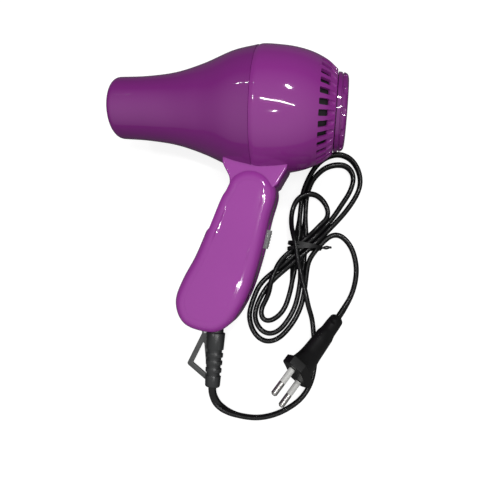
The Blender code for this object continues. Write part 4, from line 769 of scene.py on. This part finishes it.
CAP_RADIUS, CAP_EDGE, CAP_REAR = 0.0238, 0.0493, 0.0558
cap_side = [
    (CAP_EDGE, CAP_RADIUS - 0.0004), (CAP_EDGE + 0.0003, CAP_RADIUS + 0.0005),
    (0.0516, CAP_RADIUS + 0.0003), (0.0519, CAP_RADIUS), (0.0520, CAP_RADIUS - 0.0006),
    (0.0526, CAP_RADIUS - 0.0006), (0.0527, CAP_RADIUS - 0.0001), (0.0530, CAP_RADIUS),
    (CAP_REAR - 0.0020, CAP_RADIUS - 0.0002), (CAP_REAR - 0.0010, CAP_RADIUS - 0.0008),
    (CAP_REAR - 0.0003, CAP_RADIUS - 0.0018), (CAP_REAR, CAP_RADIUS - 0.0030),
    (CAP_REAR, CAP_RADIUS - 0.0052), (CAP_REAR - 0.0003, CAP_RADIUS - 0.0058),
    (CAP_REAR - 0.0010, CAP_RADIUS - 0.0062),
]
for ring in (0.0150, 0.0110, 0.0070):
    cap_side += [(CAP_REAR - 0.0010, ring + 0.0005), (CAP_REAR - 0.0014, ring + 0.0003)]
    cap_side += [(CAP_REAR - 0.0014, ring - 0.0003), (CAP_REAR - 0.0010, ring - 0.0005)]
plug_radius, plug_front = CAP_SEAT - GAP, CAP_EDGE - 0.0065
cap_profile = (
    [(CAP_REAR - 0.0030, 0), (CAP_REAR - 0.0030, plug_radius - WALL), (plug_front, plug_radius - WALL)]
    + [(plug_front, plug_radius), (CAP_EDGE, plug_radius)]
    + cap_side
    + [(CAP_REAR - 0.0010, 0)]
)
cap = turned("rear_cap_cover", cap_profile, closed=False, steps=120)
notch = box("cap_notch", (0, 0, 0), (0.0040, 0.0022, 0.0050), 0.0004)
leant(notch, (CAP_REAR - 0.0010, CAP_RADIUS, 0), 0.0, pi / 12)
carve(cap, ring_of(notch, 12))
settle(cap, DRYER, "head", "deep_purple_gloss", SHADED_PURPLE, "rear_cap", sharp=32)

# ---- Neck ---------------------------------------------------------------------------------------
# The flat-sided bracket under the head that the handle folds on, in the head's purple coloured
# lighter as painted light, like the handle. It ends in a round knuckle between the handle's ears.

NECK_HALF, KNUCKLE_RADIUS = 0.0135, 0.0135
EAR_RADIUS = 0.0165
hinge_y = -(sqrt(BODY_RADIUS**2 - NECK_HALF**2) + 0.0013 + EAR_RADIUS)
HINGE = Vector((0, hinge_y, 0))
NECK_TOP = -0.0324
neck_front = through(
    [
        (-0.0185, NECK_TOP, 0), (-0.0180, -0.0368, 0), (-0.0139, hinge_y + 0.0116, 0),
        (-0.0130, hinge_y + 0.0085, 0),
    ], 4,
)
neck_rear = through(
    [
        (0.0172, hinge_y + 0.0072, 0), (0.0180, hinge_y + 0.0090, 0), (0.0205, hinge_y + 0.0140, 0),
        (0.0223, -0.0376, 0), (0.0228, NECK_TOP, 0),
    ], 4,
)
neck_outline = [(p.x, p.y) for p in neck_front] + arc(HINGE, KNUCKLE_RADIUS, 158, 382, 36)[1:-1]
neck_outline += [(p.x, p.y) for p in neck_rear]
neck = slab("neck", neck_outline, -NECK_HALF, NECK_HALF, rounding=0.0011, segments=4, far_rounding=0.0008)
# Lightest of three copies of one purple: painted light, on the neck and the handle.
LIT_PURPLE = finish(
    "light_purple_gloss", (0.312, 0.040, 0.317), (0.338, 0.046, 0.343), (0.05, 0.10),
    patches=14, grain=1400, depth=0.000006, Coat_Weight=0.15, Coat_Roughness=0.04,
)
settle(neck, DRYER, "head", "light_purple_gloss", LIT_PURPLE, "neck_bracket", sharp=35)

# ---- Handle -------------------------------------------------------------------------------------
# Two purple shells that meet along the middle. Each has deeply rounded edges and a softly crowned
# side. The neck turns in the slot between their round ears.

HANDLE_LENGTH, HANDLE_HALF, HANDLE_WIDTH = 0.0680, 0.0165, 0.0450
HANDLE_ROUNDING = 0.0070
LEAN = radians(17.1)
down = Vector((-sin(LEAN), -cos(LEAN), 0))
front = Vector((down.y, -down.x, 0))


def on_handle(along, across):
    """A place given as shares of the handle's length and of half its width."""
    return HINGE + down * HANDLE_LENGTH * along + front * HANDLE_WIDTH / 2 * across


handle_sides = [(0.13, 0.780), (0.40, 0.805), (0.70, 0.845), (0.953, 0.955), (1.16, 0.945), (1.305, 0.660)]
handle_sides += [(1.355, 0.250), (1.316, -0.387), (1.210, -0.720), (1.05, -0.885), (0.80, -0.950)]
handle_sides += [(0.47, -0.885), (0.155, -0.755)]
handle_keys = [(x, y, 0) for x, y in arc(HINGE, EAR_RADIUS, 5, 170, 5)]
handle_keys += [tuple(on_handle(*share)) for share in handle_sides]
handle_outline = [(p.x, p.y) for p in through(handle_keys, 7, closed=True)]


def grown(outline, by):
    """An anticlockwise outline moved outwards by a distance."""
    out = []
    for i, (x, y) in enumerate(outline):
        x0, y0 = outline[i - 1]
        x1, y1 = outline[(i + 1) % len(outline)]
        long = hypot(x1 - x0, y1 - y0)
        out.append((x + by * (y1 - y0) / long, y - by * (x1 - x0) / long))
    return out


def half_shell(name, outline, low, high, rounding, crown):
    """One half of the handle: rounded over its edge, its side crowned a little."""
    way = 1 if high > low else -1
    half = slab(name, outline, low, high - way * crown, rounding=rounding, segments=12, far_rounding=0.0003)
    bpy.ops.object.mode_set(mode="EDIT")
    bpy.ops.mesh.select_all(action="DESELECT")
    edit = bmesh.from_edit_mesh(half.data)
    for face in edit.faces:
        if all(abs(v.co.z - high + way * crown) < 1e-5 for v in face.verts):
            face.select_set(True)
    bmesh.update_edit_mesh(half.data)
    for width, share in ((0.0007, 0.40), (0.0008, 0.30), (0.0009, 0.20), (0.0010, 0.10)):
        bpy.ops.mesh.inset(thickness=width, depth=crown * share)
    bpy.ops.object.mode_set(mode="OBJECT")
    return half


STOP_ANGLE, SLOT_END = 22.0, 145.0 + 72.0 + 6.0
SLOT_HALF = NECK_HALF + 0.0004
slot_outline = arc(HINGE, 2.6 * EAR_RADIUS, STOP_ANGLE, SLOT_END, 24)
slot_outline += arc(HINGE, KNUCKLE_RADIUS + 0.0004, SLOT_END, STOP_ANGLE + 360, 24)
SLIDER_TURN = -0.17784
SLIDER_SEAT = (0.0113, -0.0822, 0)
# The room for the sleeve's neck, its collar and its end: half width, half depth, low and high.
SLEEVE_WAYS = (
    (0.0053, 0.0039, -0.0040, 0.0080),
    (0.0061, 0.0053, 0.0029, 0.0053),
    (0.0066, 0.0046, -0.0080, -0.0017),
)
SCREW_PLACES = ((0.36, 0.30), (1.08, 0.52))
for name, facing in (("handle_near", 1), ("handle_far", -1)):
    shell = half_shell(
        name, handle_outline, facing * 0.00005, facing * HANDLE_HALF, HANDLE_ROUNDING, 0.0004
    )
    hollow = slab(
        name + "_hollow", grown(handle_outline, -WALL), -facing * 0.001, facing * (HANDLE_HALF - WALL),
        rounding=HANDLE_ROUNDING - WALL, segments=5,
    )
    carve(shell, hollow)
    carve(shell, slab(name + "_slot", slot_outline, -SLOT_HALF, SLOT_HALF))
    carve(shell, box(name + "_window", SLIDER_SEAT, (0.0060, 0.0216, 0.0076), 0.0008, SLIDER_TURN))
    for wide, deep, low, high in SLEEVE_WAYS:
        middle = (SLEEVE_X, SLEEVE_TOP + (low + high) / 2, 0)
        carve(shell, box(name + "_way", middle, (2 * wide, high - low, 2 * deep)))
    if facing < 0:
        for along, across in SCREW_PLACES:
            place = on_handle(along, across)
            bpy.ops.object.select_all(action="DESELECT")
            bpy.ops.mesh.primitive_cylinder_add(
                vertices=32, radius=0.0030, depth=0.0080, location=(place.x, place.y, -HANDLE_HALF)
            )
            carve(shell, bpy.context.object, solver="MANIFOLD")
    # The shells take the lightest purple, painted light.
    settle(
        shell, DRYER, "handle", "light_purple_gloss", LIT_PURPLE,
        "handle_shell_near" if facing > 0 else "handle_shell_far", sharp=35,
    )

# ---- Strain relief ------------------------------------------------------------------------------
# A tapered sleeve of satin black vinyl, moulded on to the cord. Grooves across its narrow sides
# let it bend, and its shoulder fills the hole in the handle's end.

RELIEF_TOP, RELIEF_END = (0.00625, 0.0043), (0.0050, 0.0035)  # half width and half depth
GROOVE = ((-0.0013, 0), (-0.0010, 0.0007), (-0.0008, 0.0009), (0.0008, 0.0009), (0.0010, 0.0007), (0.0013, 0))


def sleeve_size(along):
    """The sleeve's half width and half depth, a distance below the handle."""
    share = along / SLEEVE_LENGTH
    return [top + (end - top) * share for top, end in zip(RELIEF_TOP, RELIEF_END)]


sleeve = [(-0.0050, 0.0058, 0.0050), (-0.0033, 0.0058, 0.0050), (-0.0032, 0.0050, 0.0036)]
sleeve += [(0.0016, 0.0050, 0.0036), (0.0018, 0.0060, 0.0041), (0.0022, 0.00625, 0.0043)]
for i in range(4):
    middle = 0.0140 + 0.0050 * i
    for offset, sink in GROOVE:
        wide, deep = sleeve_size(middle + offset)
        sleeve.append((middle + offset, wide - sink, deep - sink * 0.15))
sleeve += [(SLEEVE_LENGTH - 0.0012, *RELIEF_END), (SLEEVE_LENGTH - 0.0004, 0.0047, 0.0032)]
sleeve += [(SLEEVE_LENGTH, 0.0041, 0.0028)]
relief = lofted("strain_relief_sleeve", sleeve, 56)
relief.matrix_world = Matrix.Translation((SLEEVE_X, SLEEVE_TOP, 0)) @ Matrix.Rotation(-pi / 2, 4, "Z")
SATIN_BLACK = finish(
    "satin_black_vinyl", (0.014, 0.015, 0.016), (0.021, 0.022, 0.023), (0.28, 0.42),
    patches=70, grain=2600, depth=0.00002,
)
settle(relief, DRYER, "handle", "black_vinyl", SATIN_BLACK, "strain_relief", sharp=30)

# ---- Hanging loop -------------------------------------------------------------------------------
# A flat three-cornered loop of grey nylon on a steel pin beside the sleeve. It swings, and its
# edges are softly rounded.

LOOP_BAND, LOOP_HALF = 0.0033, 0.0009
LOOP_CORNER, OPENING_CORNER = 0.00165, 0.0007
EYE_RADIUS, EYE_HOLE = 0.0027, 0.0013
loop_pin = Vector((-0.02619, -0.146191, -0.0059))
corners = [Vector((0, 0)), Vector((-0.0095, -0.0225)), Vector((0.0050, -0.0325))]


def band(by, rounding):
    """The corners' outline, moved out or in from the middle of the band and rounded."""
    out = []
    for i, here in enumerate(corners):
        before, after = corners[i - 1], corners[(i + 1) % 3]
        d0, d1 = (here - before).normalized(), (after - here).normalized()
        n0, n1 = Vector((d0.y, -d0.x)), Vector((d1.y, -d1.x))
        middle = (n0 + n1).normalized()
        centre = here + middle * (by - rounding) / middle.dot(n0)
        start = atan2(n0.y, n0.x)
        turn = (atan2(n1.y, n1.x) - start) % (2 * pi)
        for k in range(9):
            angle = start + turn * k / 8
            out.append((centre.x + rounding * cos(angle), centre.y + rounding * sin(angle)))
    return out


loop = slab("loop", band(LOOP_BAND / 2, LOOP_CORNER), -LOOP_HALF, LOOP_HALF)
carve(loop, slab("eye", arc((0, 0), EYE_RADIUS, 0, 352.5, 47), -LOOP_HALF, LOOP_HALF), "UNION")
carve(loop, slab("loop_opening", band(-LOOP_BAND / 2, OPENING_CORNER), -0.002, 0.002))
carve(loop, slab("eye_hole", arc((0, 0), EYE_HOLE, 0, 348.75, 31), -0.002, 0.002))
soft = loop.modifiers.new("soft_edges", "BEVEL")
soft.limit_method, soft.angle_limit = "ANGLE", radians(50)
soft.width, soft.segments = 0.00035, 2
bpy.ops.object.select_all(action="DESELECT")
loop.select_set(True)
bpy.context.view_layer.objects.active = loop
bpy.ops.object.modifier_apply(modifier="soft_edges")
loop.matrix_world = Matrix.Translation(loop_pin)
GREY_NYLON = finish(
    "grey_nylon", (0.050, 0.052, 0.052), (0.066, 0.068, 0.068), (0.32, 0.50),
    patches=120, grain=1800, depth=0.00006,
)
settle(loop, DRYER, "loop", "loop_nylon", GREY_NYLON, "hanging_loop", sharp=35)

# ---- Slide switch and the pieces inside ---------------------------------------------------------
# What the CAD already has in full: the ribbed grey slider, the motor and its fan, the mica
# heater with its wire, the mouth grille, and the wires, screws and pins. Each gets its finish.

STEEL = finish(
    "zinc_steel", (0.50, 0.50, 0.50), (0.40, 0.40, 0.41), (0.24, 0.42),
    patches=180, grain=4000, depth=0.00001, Metallic=1.0,
)
BLACK_NYLON = finish(
    "black_nylon", (0.010, 0.010, 0.011), (0.016, 0.016, 0.017), (0.40, 0.55),
    patches=60, depth=0.00004,
)
CREAM = finish(
    "cream_nylon", (0.66, 0.62, 0.50), (0.60, 0.55, 0.44), (0.42, 0.55),
    patches=60, depth=0.00004,
)
MICA = finish(
    "mica_sheet", (0.42, 0.35, 0.23), (0.30, 0.24, 0.15), (0.35, 0.55),
    patches=260, grain=1200, depth=0.00006,
)
WIRE = finish(
    "heating_wire", (0.30, 0.28, 0.26), (0.18, 0.16, 0.15), (0.30, 0.45),
    patches=300, depth=0.00001, Metallic=1.0,
)
COPPER = finish(
    "bare_copper", (0.68, 0.31, 0.18), (0.52, 0.23, 0.13), (0.25, 0.40),
    patches=300, depth=0.00001, Metallic=1.0,
)
SLIDER_GREY = finish(
    "slider_grey", (0.16, 0.165, 0.165), (0.20, 0.205, 0.205), (0.20, 0.34),
    patches=160, grain=2000, depth=0.00003,
)
carried = {
    SLIDER_GREY: ["switch_slider"],
    # The mouth grille takes the darkest purple, painted shade.
    SHADED_PURPLE: ["outlet_grille"],
    STEEL: [
        "motor_can", "motor_shaft", "motor_screw_upper", "motor_screw_lower", "heat_shield",
        "thermostat", "pivot_pin", "detent_spring", "handle_screw_upper", "handle_screw_lower",
        "loop_pin",
    ],
    BLACK_NYLON: [
        "fan_duct", "motor_mount", "motor_end_cap", "fan_impeller", "rectifier_board",
        "switch_body", "cord_tail",
    ],
    CREAM: ["thermal_fuse", "cord_clamp"],
    MICA: ["heater_board_upright", "heater_board_level"],
    WIRE: ["heater_coil"],
    COPPER: ["switch_lug_a", "switch_lug_b", "switch_lug_c", "lead_live", "lead_neutral"],
}
for material, names in carried.items():
    for name in names:
        frame["nodes"][name].data.materials.clear()
        frame["nodes"][name].data.materials.append(material)
